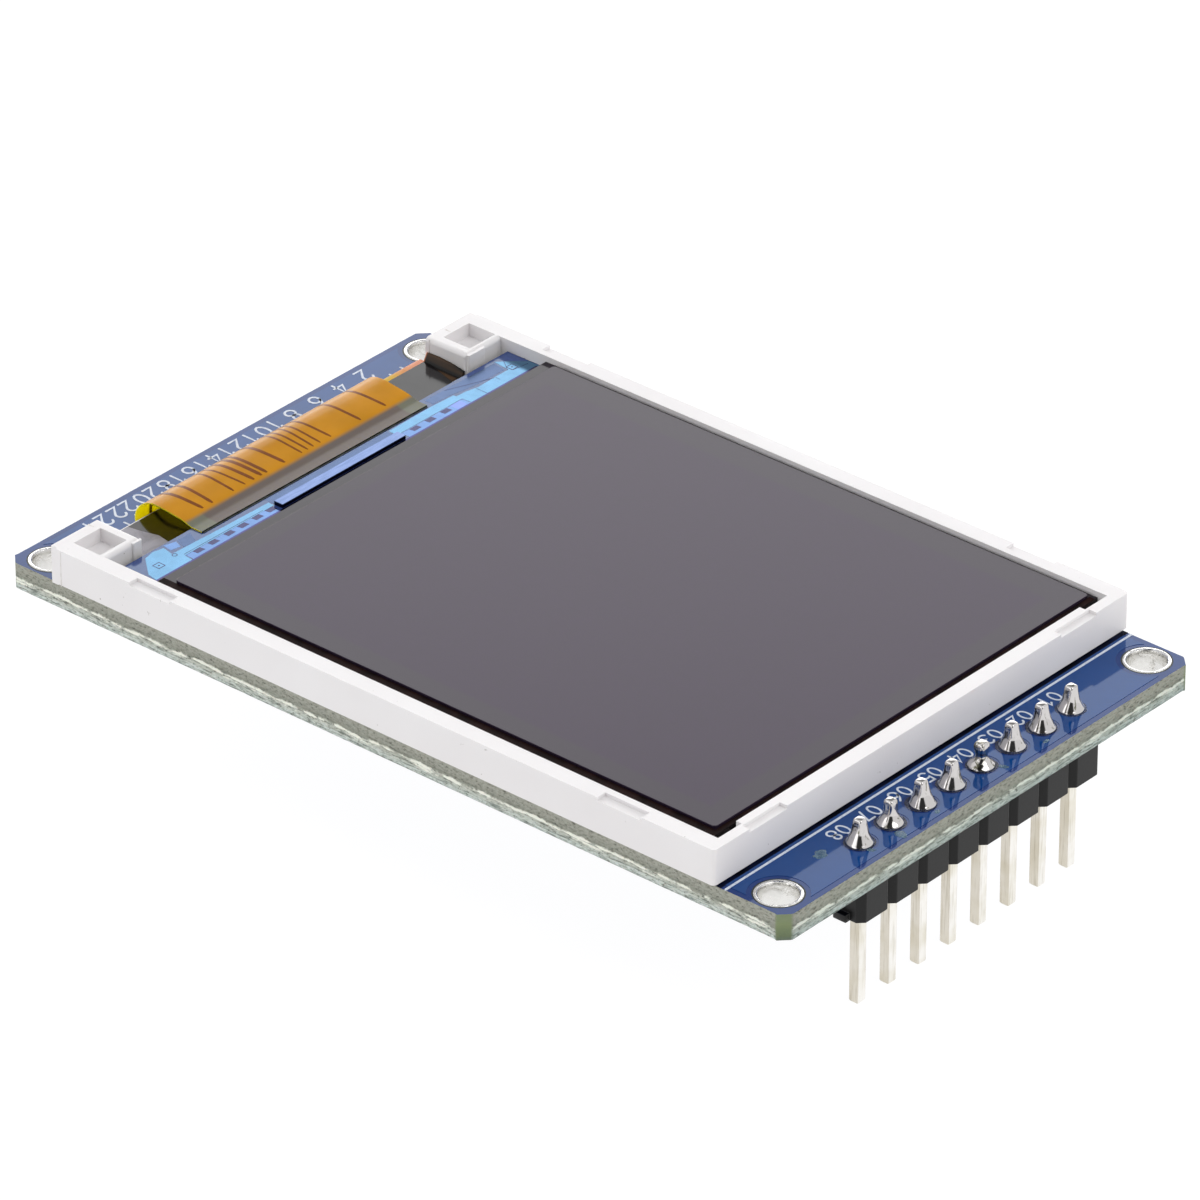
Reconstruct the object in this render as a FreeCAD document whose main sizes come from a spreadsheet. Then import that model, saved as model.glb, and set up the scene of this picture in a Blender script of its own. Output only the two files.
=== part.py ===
import FreeCAD, Part
import math
import os

import Sketcher

# Colour TFT display module: a bare circuit board that carries a small liquid crystal panel in a
# moulded backlight frame, with an eight-way pin header under its far end.
# Frame of the part: millimetres, +Z from the board to the display, +X along the header from pin 1
# to pin 8, +Y from the flex end to the header end. The origin is the centre of the four mounting
# holes, on the board's underside.

os.makedirs("parts", exist_ok=True)
doc = FreeCAD.newDocument("tft_display_module")

# Driving dimensions
SIZES = {
    # Board
    "board_width": 34.3,
    "board_length": 56.0,
    "board_thickness": 1.6,
    "board_chamfer": 0.65,
    "hole_inset_side": 1.65,
    "hole_inset_end": 1.9,
    "hole_bore": 2.2,
    "ring_diameter": 2.6,
    "copper_thickness": 0.035,
    "plating_gap": 0.01,
    # Header
    "pin_pitch": 2.54,
    "pin_count": 8,
    "pin_width": 0.64,
    "pin_below": 5.9,
    "pin_above": 1.5,
    "pin_point": 0.16,
    "pin_bore": 1.0,
    "header_inset": 1.9,
    "housing_depth": 2.5,
    "housing_height": 2.5,
    "housing_notch": 0.38,
    "nub_length": 0.35,
    "nub_height": 0.45,
    # Solder joints
    "joint_diameter": 1.66,
    "joint_neck": 0.96,
    "joint_height": 1.1,
    "low_joint_height": 0.7,
    "joint_curve": 1.2,
    "joint_plug": 0.9,
    "joint_depth": 0.8,
    # Backlight frame
    "frame_overhang": 0.25,
    "frame_back_margin": 3.6,
    "frame_front_margin": 4.7,
    "frame_height": 2.2,
    "tape_thickness": 0.15,
    "side_wall": 0.95,
    "end_wall": 0.8,
    "end_relief": 0.12,
    "relief_width": 2.05,
    "guide_ledge": 1.0,
    "end_ledge": 0.75,
    "sill_drop": 0.1,
    "sill_depth": 2.05,
    "block_width": 3.95,
    "block_length": 3.15,
    "block_round": 0.28,
    "pocket_width": 2.3,
    "pocket_length": 2.0,
    "pocket_back_wall": 0.75,
    "pocket_depth": 0.85,
    "post_length": 0.45,
    "post_inset": 0.12,
    "notch_depth": 0.2,
    "notch_length": 3.05,
    "side_notch_width": 0.66,
    "end_notch_width": 0.52,
    "back_notch_start": 5.95,
    "front_notch_start": 5.0,
    "end_notch_start": 2.85,
    "frame_corner": 0.25,
    # Backlight stack
    "reflector_thickness": 0.1,
    "guide_thickness": 0.55,
    "diffuser_thickness": 0.08,
    "prism_thickness": 0.06,
    "film_clearance": 0.1,
    "led_count": 4,
    "led_width": 3.2,
    "led_depth": 0.9,
    "led_height": 0.55,
    "trench_depth": 1.2,
    "trench_inset": 0.95,
    "rim_tape_thickness": 0.05,
    "rim_tape_inset": 0.25,
    "rim_window_margin": 0.6,
    "rim_tape_skew": 1.0,
    # Display cell
    "glass_thickness": 0.4,
    "glass_side_gap": 0.35,
    "glass_end_gap": 0.5,
    "glass_shift": 0.2,
    "glass_back_inset": 3.7,
    "ledge_depth": 2.9,
    "film_thickness": 0.15,
    "film_inset": 0.4,
    "film_back_inset": 0.8,
    "chip_length": 10.2,
    "chip_width": 0.65,
    "chip_height": 0.25,
    "chip_gap": 0.6,
    # Flex tails
    "flex_side_gap": 1.3,
    "flex_far_inset": 3.45,
    "flex_thickness": 0.1,
    "flex_bond": 0.75,
    "flex_rise": 0.36,
    "flex_rise_run": 0.9,
    "flex_return": 7.0,
    "flex_lift": 0.02,
    "bend_inset": 0.35,
    "bend_radius": 0.92,
    "tuck_radius": 0.3,
    "led_tail_width": 3.3,
    "led_tail_radius": 0.4,
    "led_tail_run": 1.6,
    "led_flex_depth": 2.6,
    # Mounting tape
    "mount_tape_width": 3.2,
    "mount_tape_inset": 5.75,
    # Parts on the underside
    "case_width": 2.9,
    "case_depth": 1.3,
    "case_height": 1.0,
    "lead_width": 0.4,
    "lead_length": 0.55,
    "lead_thickness": 0.15,
    "lead_pitch": 0.95,
    "chip_part_length": 1.6,
    "chip_part_width": 0.8,
    "resistor_height": 0.45,
    "capacitor_height": 0.7,
    "end_cap": 0.3,
    "parts_inset_side": 6.15,
    "parts_inset_end": 16.0,
    "chip_part_spacing": 2.2,
}

dims = doc.addObject("Spreadsheet::Sheet", "dims")
for row, (name, value) in enumerate(SIZES.items(), start=1):
    dims.set(f"A{row}", name)
    dims.set(f"B{row}", str(value))
    dims.setAlias(f"B{row}", name)
doc.recompute()


def cell(name):
    """The expression that reads one driving dimension."""
    return f"dims.{name}"


def add(*terms):
    """The sum of several expressions."""
    return " + ".join(f"({term})" for term in terms)


def less(first, *terms):
    """An expression with others taken from it."""
    return f"({first})" + "".join(f" - ({term})" for term in terms)


def times(factor, term):
    """An expression scaled by a plain factor."""
    return f"{factor} * ({term})"


def half(term):
    """Half of an expression."""
    return f"({term}) / 2"


# Heights above the board's underside
board_top = cell("board_thickness")
frame_floor = add(board_top, cell("tape_thickness"))
frame_top = add(frame_floor, cell("frame_height"))
guide_floor = add(frame_floor, cell("reflector_thickness"))
diffuser_floor = add(guide_floor, cell("guide_thickness"))
prism_floor = add(diffuser_floor, cell("diffuser_thickness"))
ledge_top = add(prism_floor, times(2, cell("prism_thickness")))
sill_top = less(ledge_top, cell("sill_drop"))
cell_floor = add(ledge_top, cell("rim_tape_thickness"))
array_floor = add(cell_floor, cell("film_thickness"))
array_top = add(array_floor, cell("glass_thickness"))
filter_top = add(array_top, cell("glass_thickness"))

# Places in plan
frame_width = add(cell("board_width"), times(2, cell("frame_overhang")))
frame_side = half(frame_width)
frame_back = add(times(-0.5, cell("board_length")), cell("frame_back_margin"))
frame_front = less(half(cell("board_length")), cell("frame_front_margin"))
inner_side = less(frame_side, cell("side_wall"))
inner_front = less(frame_front, cell("end_wall"))
block_side = less(frame_side, cell("block_width"))
block_front = add(frame_back, cell("block_length"))
sill_front = add(frame_back, cell("sill_depth"))
guide_side = less(inner_side, cell("guide_ledge"))
guide_front = less(inner_front, cell("end_ledge"))
trench_front = add(sill_front, cell("trench_depth"))
trench_side = less(block_side, cell("trench_inset"))
glass_width = less(times(2, inner_side), times(2, cell("glass_side_gap")))
glass_centre = times(-1, cell("glass_shift"))
glass_front = less(inner_front, cell("glass_end_gap"))
glass_back = add(frame_back, cell("glass_back_inset"))
filter_back = add(glass_back, cell("ledge_depth"))
hole_x = less(half(cell("board_width")), cell("hole_inset_side"))
hole_y = less(half(cell("board_length")), cell("hole_inset_end"))
header_y = less(half(cell("board_length")), cell("header_inset"))
first_pin_x = times(-0.5, f"(dims.pin_count - 1) * {cell('pin_pitch')}")
header_span = f"(dims.pin_count - 1) * {cell('pin_pitch')}"
flex_strip_side = less(block_side, cell("rim_tape_inset"))
flex_left = add(times(-1, flex_strip_side), cell("led_tail_width"), cell("flex_side_gap"))
flex_right = less(block_side, cell("flex_far_inset"))
parts_x = less(half(cell("board_width")), cell("parts_inset_side"))
parts_y = less(half(cell("board_length")), cell("parts_inset_end"))

PIN_COUNT = int(SIZES["pin_count"])
LED_COUNT = int(SIZES["led_count"])
LOW_JOINT = 4
ALL = "ThroughAll"
UPWARD = FreeCAD.Vector(0, 0, 1)
QUARTER_TURN = math.pi / 2

sub_parts = []


def bind(item, bindings):
    """Drives properties of an object from expressions."""
    for name, expression in bindings.items():
        item.setExpression(name, expression)


def name_part(item, label):
    """Gives a sub-part the label that names its file."""
    item.Label = label
    sub_parts.append(item)
    return item


def new_body(label):
    """A PartDesign body that becomes one node."""
    return name_part(doc.addObject("PartDesign::Body", label), label)


def origin_item(body, role):
    """One plane or axis of a body's own origin."""
    return next(item for item in body.Origin.OriginFeatures if item.Role == role)


def new_sketch(body, name, role="XY_Plane", place=("0", "0", "0")):
    """A sketch on a plane of the body's origin, moved along that plane's own axes."""
    sketch = body.newObject("Sketcher::SketchObject", name)
    sketch.AttachmentSupport = [(origin_item(body, role), "")]
    sketch.MapMode = "FlatFace"
    for axis, expression in zip("xyz", place):
        sketch.setExpression(f".AttachmentOffset.Base.{axis}", expression)
    return sketch


def drive(sketch, constraint, expression):
    """Adds a dimension to a sketch and drives it from an expression."""
    index = sketch.addConstraint(constraint)
    sketch.setExpression(f"Constraints[{index}]", expression)


def join_ends(sketch, first, count):
    """Closes a run of lines into one outline."""
    for step in range(count):
        following = first + (step + 1) % count
        sketch.addConstraint(Sketcher.Constraint("Coincident", first + step, 2, following, 1))


def draw_rectangle(sketch, width, length):
    """A rectangle about the sketch's own origin."""
    first = sketch.GeometryCount
    across, along = dims.evalExpression(width), dims.evalExpression(length)
    signs = ((-1, -1), (1, -1), (1, 1), (-1, 1))
    corners = [FreeCAD.Vector(x * across / 2, y * along / 2, 0) for x, y in signs]
    for step in range(4):
        sketch.addGeometry(Part.LineSegment(corners[step], corners[(step + 1) % 4]), False)
    join_ends(sketch, first, 4)
    for step in (0, 2):
        sketch.addConstraint(Sketcher.Constraint("Horizontal", first + step))
        sketch.addConstraint(Sketcher.Constraint("Vertical", first + step + 1))
    sketch.addConstraint(Sketcher.Constraint("Symmetric", first, 1, first + 1, 2, -1, 1))
    drive(sketch, Sketcher.Constraint("DistanceX", first, 1, first, 2, across), width)
    drive(sketch, Sketcher.Constraint("DistanceY", first + 1, 1, first + 1, 2, along), length)


def draw_outline(sketch, corners):
    """A closed outline of straight lines, each corner given by two expressions."""
    first = sketch.GeometryCount
    count = len(corners)
    guesses = [FreeCAD.Vector(*(dims.evalExpression(term) for term in corner), 0) for corner in corners]
    for step in range(count):
        sketch.addGeometry(Part.LineSegment(guesses[step], guesses[(step + 1) % count]), False)
    join_ends(sketch, first, count)
    for step, (across, along) in enumerate(corners):
        x, y = guesses[step].x, guesses[step].y
        drive(sketch, Sketcher.Constraint("DistanceX", -1, 1, first + step, 1, x), across)
        drive(sketch, Sketcher.Constraint("DistanceY", -1, 1, first + step, 1, y), along)


def draw_circle(sketch, diameter, across="0", along="0"):
    """A circle with its centre given by two expressions."""
    index = sketch.GeometryCount
    x, y, across_circle = [dims.evalExpression(term) for term in (across, along, diameter)]
    sketch.addGeometry(Part.Circle(FreeCAD.Vector(x, y, 0), UPWARD, across_circle / 2), False)
    drive(sketch, Sketcher.Constraint("DistanceX", -1, 1, index, 3, x), across)
    drive(sketch, Sketcher.Constraint("DistanceY", -1, 1, index, 3, y), along)
    drive(sketch, Sketcher.Constraint("Diameter", index, across_circle), diameter)


def pad(body, sketch, length):
    """Extrudes a sketch along its plane's normal."""
    feature = body.newObject("PartDesign::Pad", f"{sketch.Name}_pad")
    feature.Profile = sketch
    feature.setExpression("Length", length)
    return feature


def pocket(body, sketch, depth):
    """Cuts a sketch downwards, by a depth or through everything."""
    feature = body.newObject("PartDesign::Pocket", f"{sketch.Name}_cut")
    feature.Profile = sketch
    if depth == ALL:
        feature.Type = "ThroughAll"
        feature.Midplane = True
    else:
        feature.setExpression("Length", depth)
    return feature


def block_sketch(body, name, low, high, level):
    """A rectangle between two corners, at a height."""
    centre = [half(add(a, b)) for a, b in zip(low, high)]
    sketch = new_sketch(body, name, place=(*centre, level))
    draw_rectangle(sketch, less(high[0], low[0]), less(high[1], low[1]))
    return sketch


def edges_where(feature, test):
    """Names of a feature's edges that pass a test."""
    doc.recompute()
    edges = feature.Shape.Edges
    return [f"Edge{index + 1}" for index, edge in enumerate(edges) if test(edge)]


def is_upright(edge):
    """True for a straight edge along Z."""
    box = edge.BoundBox
    return box.XLength < 1e-4 and box.YLength < 1e-4


def dress(body, kind, name, feature, edges, size):
    """A chamfer or a fillet on chosen edges of a feature."""
    item = body.newObject(f"PartDesign::{kind}", name)
    item.Base = (feature, edges)
    item.setExpression("Size" if kind == "Chamfer" else "Radius", size)
    body.Tip = item
    return item


def pattern_along_x(body, name, originals, span, count):
    """Repeats features along X over a span."""
    pattern = body.newObject("PartDesign::LinearPattern", name)
    pattern.Originals = originals
    pattern.Direction = (origin_item(body, "X_Axis"), [""])
    pattern.setExpression("Length", span)
    pattern.setExpression("Occurrences", count)
    body.Tip = pattern
    return pattern


def plate(label, low, high, level, thickness):
    """A plain rectangular layer as a Part box between two corners."""
    item = name_part(doc.addObject("Part::Box", label), label)
    bind(item, {
        "Length": less(high[0], low[0]),
        "Width": less(high[1], low[1]),
        "Height": thickness,
        "Placement.Base.x": low[0],
        "Placement.Base.y": low[1],
        "Placement.Base.z": level,
    })
    return item


def across_glass(inset):
    """Both sides of a layer of the display cell, set in from the glass edge."""
    reach = less(half(glass_width), inset)
    return less(glass_centre, reach), add(glass_centre, reach)


# Circuit board: chamfered corners, four mounting holes and a row of header holes
def make_board():
    body = new_body("pcb")
    outline = new_sketch(body, "board_outline")
    draw_rectangle(outline, cell("board_width"), cell("board_length"))
    slab = pad(body, outline, cell("board_thickness"))
    dress(body, "Chamfer", "board_corners", slab, edges_where(slab, is_upright), cell("board_chamfer"))
    holes = new_sketch(body, "mounting_holes", place=("0", "0", board_top))
    for x_sign in (-1, 1):
        for y_sign in (-1, 1):
            bore = add(cell("hole_bore"), times(2, add(cell("copper_thickness"), cell("plating_gap"))))
            draw_circle(holes, bore, times(x_sign, hole_x), times(y_sign, hole_y))
    pocket(body, holes, ALL)
    row = new_sketch(body, "header_hole", place=("0", "0", board_top))
    draw_circle(row, cell("pin_bore"), first_pin_x, header_y)
    first_hole = pocket(body, row, ALL)
    pattern_along_x(body, "header_holes", [first_hole], header_span, cell("pin_count"))


# Plating of the mounting holes: a barrel with a ring on each face, four times in one node
def make_hole_plating():
    rings = doc.addObject("Part::MultiFuse", "mounting_hole_plating")
    barrels = []
    for index in range(4):
        x_sign = (-1, 1)[index % 2]
        y_sign = (-1, 1)[index // 2]
        outer = doc.addObject("Part::Cylinder", f"barrel_{index + 1}")
        ring_low = doc.addObject("Part::Cylinder", f"ring_low_{index + 1}")
        ring_high = doc.addObject("Part::Cylinder", f"ring_high_{index + 1}")
        bore = doc.addObject("Part::Cylinder", f"bore_{index + 1}")
        full_height = add(board_top, times(2, cell("copper_thickness")))
        below = times(-1, cell("copper_thickness"))
        barrel_radius = add(half(cell("hole_bore")), cell("copper_thickness"))
        ring_radius = half(cell("ring_diameter"))
        bore_radius = half(cell("hole_bore"))
        for item, radius, level, height in (
            (outer, barrel_radius, below, full_height),
            (ring_low, ring_radius, below, cell("copper_thickness")),
            (ring_high, ring_radius, board_top, cell("copper_thickness")),
            (bore, bore_radius, below, full_height),
        ):
            bind(item, {
                "Radius": radius,
                "Height": height,
                "Placement.Base.x": times(x_sign, hole_x),
                "Placement.Base.y": times(y_sign, hole_y),
                "Placement.Base.z": level,
            })
        solid = doc.addObject("Part::MultiFuse", f"plating_solid_{index + 1}")
        solid.Shapes = [outer, ring_low, ring_high]
        barrel = doc.addObject("Part::Cut", f"plating_{index + 1}")
        barrel.Base = solid
        barrel.Tool = bore
        barrels.append(barrel)
    rings.Shapes = barrels
    name_part(rings, "mounting_hole_plating")


# Header housing: one octagonal cell per pin, moulded as a strip, with a snapped-off nub at one end
def make_housing():
    body = new_body("header_housing")
    below = times(-1, cell("housing_height"))
    side = half(cell("pin_pitch"))
    depth = half(cell("housing_depth"))
    shoulder = less(side, cell("housing_notch"))
    cheek = less(depth, cell("housing_notch"))
    quarter = [(side, cheek), (shoulder, depth)]
    corners = quarter
    corners = corners + [(times(-1, x), y) for x, y in reversed(quarter)]
    corners = corners + [(times(-1, x), times(-1, y)) for x, y in quarter]
    corners = corners + [(x, times(-1, y)) for x, y in reversed(quarter)]
    block = new_sketch(body, "housing_cell", place=(first_pin_x, header_y, below))
    draw_outline(block, corners)
    first_block = pad(body, block, cell("housing_height"))
    pattern_along_x(body, "housing_cells", [first_block], header_span, cell("pin_count"))
    strip_end = add(half(header_span), side)
    nub = block_sketch(
        body,
        "housing_nub",
        (less(strip_end, cell("housing_notch")), less(header_y, half(cheek))),
        (add(strip_end, cell("nub_length")), add(header_y, half(cheek))),
        below,
    )
    pad(body, nub, cell("nub_height"))
    opening = new_sketch(body, "housing_hole", place=(first_pin_x, header_y, "0"))
    draw_rectangle(opening, cell("pin_width"), cell("pin_width"))
    first_hole = pocket(body, opening, ALL)
    pattern_along_x(body, "housing_holes", [first_hole], header_span, cell("pin_count"))


def pin_place(index):
    """The X of one pin, counted from nought."""
    return add(first_pin_x, f"{index} * {cell('pin_pitch')}")


# Header pin: square wire, cropped to a blunt point at its free end
def make_pin(index):
    body = new_body(f"header_pin_{index + 1}")
    foot = times(-1, add(cell("housing_height"), cell("pin_below")))
    section = new_sketch(body, f"pin_section_{index + 1}", place=(pin_place(index), header_y, foot))
    draw_rectangle(section, cell("pin_width"), cell("pin_width"))
    wire = pad(body, section, less(add(board_top, cell("pin_above")), foot))
    lowest = dims.evalExpression(foot)
    rim = edges_where(wire, lambda edge: edge.BoundBox.ZMax < lowest + 1e-4)
    dress(body, "Chamfer", f"pin_point_{index + 1}", wire, rim, cell("pin_point"))


# Solder joint: a concave cone on the board that grips the pin, with a plug down the hole
def make_joint(index):
    body = new_body(f"solder_joint_{index + 1}")
    body.setExpression("Placement.Base.x", pin_place(index))
    body.setExpression("Placement.Base.y", header_y)
    body.setExpression("Placement.Base.z", board_top)
    height = cell("low_joint_height") if index + 1 == LOW_JOINT else cell("joint_height")
    foot = half(cell("joint_diameter"))
    neck = half(cell("joint_neck"))
    plug = half(cell("joint_plug"))
    depth = times(-1, cell("joint_depth"))
    profile = new_sketch(body, f"joint_profile_{index + 1}", "XZ_Plane")
    corners = [("0", height), ("0", depth), (plug, depth), (plug, "0"), (foot, "0"), (neck, height)]
    points = [FreeCAD.Vector(*(dims.evalExpression(term) for term in corner), 0) for corner in corners]
    for step in (0, 1, 2, 3):
        profile.addGeometry(Part.LineSegment(points[step], points[step + 1]), False)
    curve = SIZES["joint_curve"]
    chord = points[5] - points[4]
    hollow = curve - (curve ** 2 - (chord.Length / 2) ** 2) ** 0.5
    inward = FreeCAD.Vector(-chord.y, chord.x, 0).normalize()
    middle = (points[4] + points[5]) * 0.5 + inward * hollow
    profile.addGeometry(Part.Arc(points[5], middle, points[4]), False)
    profile.addGeometry(Part.LineSegment(points[5], points[0]), False)
    links = [(0, 2, 1, 1), (1, 2, 2, 1), (2, 2, 3, 1), (3, 2, 4, 2), (4, 1, 5, 1), (5, 2, 0, 1)]
    for link in links:
        profile.addConstraint(Sketcher.Constraint("Coincident", *link))
    for step, (geometry, end) in enumerate(((0, 1), (1, 1), (2, 1), (3, 1), (3, 2), (5, 1))):
        x, y = points[step].x, points[step].y
        drive(profile, Sketcher.Constraint("DistanceX", -1, 1, geometry, end, x), corners[step][0])
        drive(profile, Sketcher.Constraint("DistanceY", -1, 1, geometry, end, y), corners[step][1])
    drive(profile, Sketcher.Constraint("Radius", 4, curve), cell("joint_curve"))
    cone = body.newObject("PartDesign::Revolution", f"joint_cone_{index + 1}")
    cone.Profile = profile
    cone.ReferenceAxis = (profile, ["V_Axis"])
    cone.Angle = 360.0
    seat = new_sketch(body, f"joint_seat_{index + 1}", place=("0", "0", height))
    draw_rectangle(seat, cell("pin_width"), cell("pin_width"))
    pocket(body, seat, ALL)


# Backlight frame: one moulding with stepped wells, pocketed blocks and shallow rim notches
def make_frame():
    body = new_body("lcd_frame")
    outer = block_sketch(
        body, "frame_outline",
        (times(-1, frame_side), frame_back), (frame_side, frame_front), frame_floor,
    )
    shell = pad(body, outer, cell("frame_height"))
    front_edge = dims.evalExpression(frame_front)
    corners = edges_where(shell, lambda edge: is_upright(edge) and edge.BoundBox.YMin > front_edge - 1e-3)
    dress(body, "Fillet", "frame_corners", shell, corners, cell("frame_corner"))

    well_depth = less(frame_top, ledge_top)
    well = block_sketch(
        body, "cell_well",
        (times(-1, inner_side), block_front), (inner_side, inner_front), frame_top,
    )
    pocket(body, well, well_depth)
    mouth = block_sketch(
        body, "flex_mouth",
        (times(-1, block_side), less(frame_back, cell("frame_overhang"))), (block_side, trench_front),
        frame_top,
    )
    pocket(body, mouth, less(frame_top, sill_top))
    guide_well = block_sketch(
        body, "guide_well",
        (times(-1, guide_side), trench_front), (guide_side, guide_front), frame_top,
    )
    pocket(body, guide_well, ALL)
    trench = block_sketch(
        body, "led_trench",
        (times(-1, trench_side), sill_front), (trench_side, block_front),
        frame_top,
    )
    pocket(body, trench, ALL)

    # Features of one side, which the mirror repeats
    pocket_back = add(frame_back, cell("pocket_back_wall"))
    block_well = block_sketch(
        body, "block_well",
        (less(inner_side, cell("pocket_width")), pocket_back),
        (inner_side, add(pocket_back, cell("pocket_length"))),
        frame_top,
    )
    sided = [pocket(body, block_well, cell("pocket_depth"))]
    notch_side = less(frame_side, cell("side_notch_width"))
    beyond_side = add(frame_side, cell("side_notch_width"))
    notch_starts = {
        "back_notch": add(frame_back, cell("back_notch_start")),
        "front_notch": less(frame_front, cell("front_notch_start"), cell("notch_length")),
    }
    for name, start in notch_starts.items():
        notch = block_sketch(
            body, name,
            (notch_side, start), (beyond_side, add(start, cell("notch_length"))), frame_top,
        )
        sided.append(pocket(body, notch, cell("notch_depth")))
    end_notch_side = less(frame_side, cell("end_notch_start"))
    end_notch = block_sketch(
        body, "end_notch",
        (less(end_notch_side, cell("notch_length")), less(frame_front, cell("end_notch_width"))),
        (end_notch_side, add(frame_front, cell("end_notch_width"))),
        frame_top,
    )
    sided.append(pocket(body, end_notch, cell("notch_depth")))
    relief = block_sketch(
        body, "end_relief",
        (less(inner_side, cell("relief_width")), less(inner_front, cell("end_relief"))),
        (inner_side, add(inner_front, cell("end_relief"))),
        frame_top,
    )
    sided.append(pocket(body, relief, well_depth))
    post = block_sketch(
        body, "corner_post",
        (less(frame_side, cell("post_inset")), less(frame_back, cell("post_length"))),
        (add(frame_side, cell("post_inset")), add(frame_back, cell("post_length"))),
        frame_top,
    )
    sided.append(pocket(body, post, ALL))
    foot = block_sketch(
        body, "corner_foot",
        (block_side, frame_back),
        (less(frame_side, cell("post_inset")), add(frame_back, cell("post_length"))),
        board_top,
    )
    sided.append(pad(body, foot, add(cell("tape_thickness"), cell("tape_thickness"))))
    mirror = body.newObject("PartDesign::Mirrored", "frame_mirror")
    mirror.Originals = sided
    mirror.MirrorPlane = (origin_item(body, "YZ_Plane"), [""])
    body.Tip = mirror

    # Rounded edges on the inner sides of both blocks
    side_line = dims.evalExpression(block_side)
    front_line = dims.evalExpression(block_front)
    top_level = dims.evalExpression(frame_top)

    def on_block(edge):
        box = edge.BoundBox
        at_side = abs(abs(box.XMin) - side_line) < 1e-3 and box.XLength < 1e-3
        at_front = abs(box.YMin - front_line) < 1e-3 and box.YLength < 1e-3
        at_top = box.ZMin > top_level - 1e-3
        upright = at_side and at_front and box.ZMin > top_level - 1.5
        return upright or (at_top and (at_side or at_front))

    dress(body, "Fillet", "block_rounds", mirror, edges_where(mirror, on_block), cell("block_round"))


# Backlight stack: reflector, light guide, diffuser and two prism films
def make_backlight():
    gap = cell("film_clearance")
    side = less(guide_side, gap)
    back = add(trench_front, gap)
    front = less(guide_front, gap)
    low, high = (times(-1, side), back), (side, front)
    plate("reflector_film", low, high, frame_floor, cell("reflector_thickness"))
    plate("light_guide", low, high, guide_floor, cell("guide_thickness"))
    film_low = (times(-1, side), add(back, gap))
    plate("diffuser_film", film_low, high, diffuser_floor, cell("diffuser_thickness"))
    plate("prism_film_lower", film_low, high, prism_floor, cell("prism_thickness"))
    upper_floor = add(prism_floor, cell("prism_thickness"))
    plate("prism_film_upper", film_low, high, upper_floor, cell("prism_thickness"))
    for index in range(LED_COUNT):
        centre = f"({index} - (dims.led_count - 1) / 2) * 2 * ({trench_side}) / dims.led_count"
        led_back = add(sill_front, gap)
        plate(
            f"backlight_led_{index + 1}",
            (less(centre, half(cell("led_width"))), led_back),
            (add(centre, half(cell("led_width"))), add(led_back, cell("led_depth"))),
            less(sill_top, cell("led_height")),
            cell("led_height"),
        )


def draw_fold(path, first_level, low_level, start_y, turn_y, end_y, upper_radius):
    """Draws a flat run in the YZ plane, folded down and back under: three lines and two quarter turns."""
    terms = (first_level, low_level, start_y, turn_y, end_y, upper_radius, cell("tuck_radius"))
    high, low, y0, y1, y2, upper, lower = [dims.evalExpression(term) for term in terms]
    first = path.GeometryCount
    back = y1 - upper
    points = [
        FreeCAD.Vector(y0, high, 0),
        FreeCAD.Vector(y1, high, 0),
        FreeCAD.Vector(back, high - upper, 0),
        FreeCAD.Vector(back, low + lower, 0),
        FreeCAD.Vector(back + lower, low, 0),
        FreeCAD.Vector(y2, low, 0),
    ]
    upper_turn = Part.Circle(FreeCAD.Vector(y1, high - upper, 0), UPWARD, upper)
    lower_turn = Part.Circle(FreeCAD.Vector(back + lower, low + lower, 0), UPWARD, lower)
    path.addGeometry(Part.LineSegment(points[0], points[1]), False)
    path.addGeometry(Part.ArcOfCircle(upper_turn, QUARTER_TURN, 2 * QUARTER_TURN), False)
    path.addGeometry(Part.LineSegment(points[2], points[3]), False)
    path.addGeometry(Part.ArcOfCircle(lower_turn, 2 * QUARTER_TURN, 3 * QUARTER_TURN), False)
    path.addGeometry(Part.LineSegment(points[4], points[5]), False)
    for step in range(4):
        path.addConstraint(Sketcher.Constraint("Tangent", first + step, 2, first + step + 1, 1))
    path.addConstraint(Sketcher.Constraint("Horizontal", first))
    path.addConstraint(Sketcher.Constraint("Vertical", first + 2))
    path.addConstraint(Sketcher.Constraint("Horizontal", first + 4))
    drive(path, Sketcher.Constraint("DistanceX", -1, 1, first, 1, y0), start_y)
    drive(path, Sketcher.Constraint("DistanceY", -1, 1, first, 1, high), first_level)
    drive(path, Sketcher.Constraint("DistanceX", -1, 1, first, 2, y1), turn_y)
    drive(path, Sketcher.Constraint("Radius", first + 1, upper), upper_radius)
    drive(path, Sketcher.Constraint("Radius", first + 3, lower), cell("tuck_radius"))
    drive(path, Sketcher.Constraint("DistanceY", -1, 1, first + 4, 2, low), low_level)
    drive(path, Sketcher.Constraint("DistanceX", -1, 1, first + 4, 2, y2), end_y)


def sweep(body, name, path, width, centre_x, level, start_y):
    """Sweeps a flat strip section along a path."""
    section = new_sketch(body, f"{name}_section", "XZ_Plane", (centre_x, level, times(-1, start_y)))
    draw_rectangle(section, width, cell("flex_thickness"))
    pipe = body.newObject("PartDesign::AdditivePipe", f"{name}_sweep")
    pipe.Profile = section
    pipe.Spine = (path, [])


tail_low = add(board_top, cell("flex_lift"), half(cell("flex_thickness")))


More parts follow.
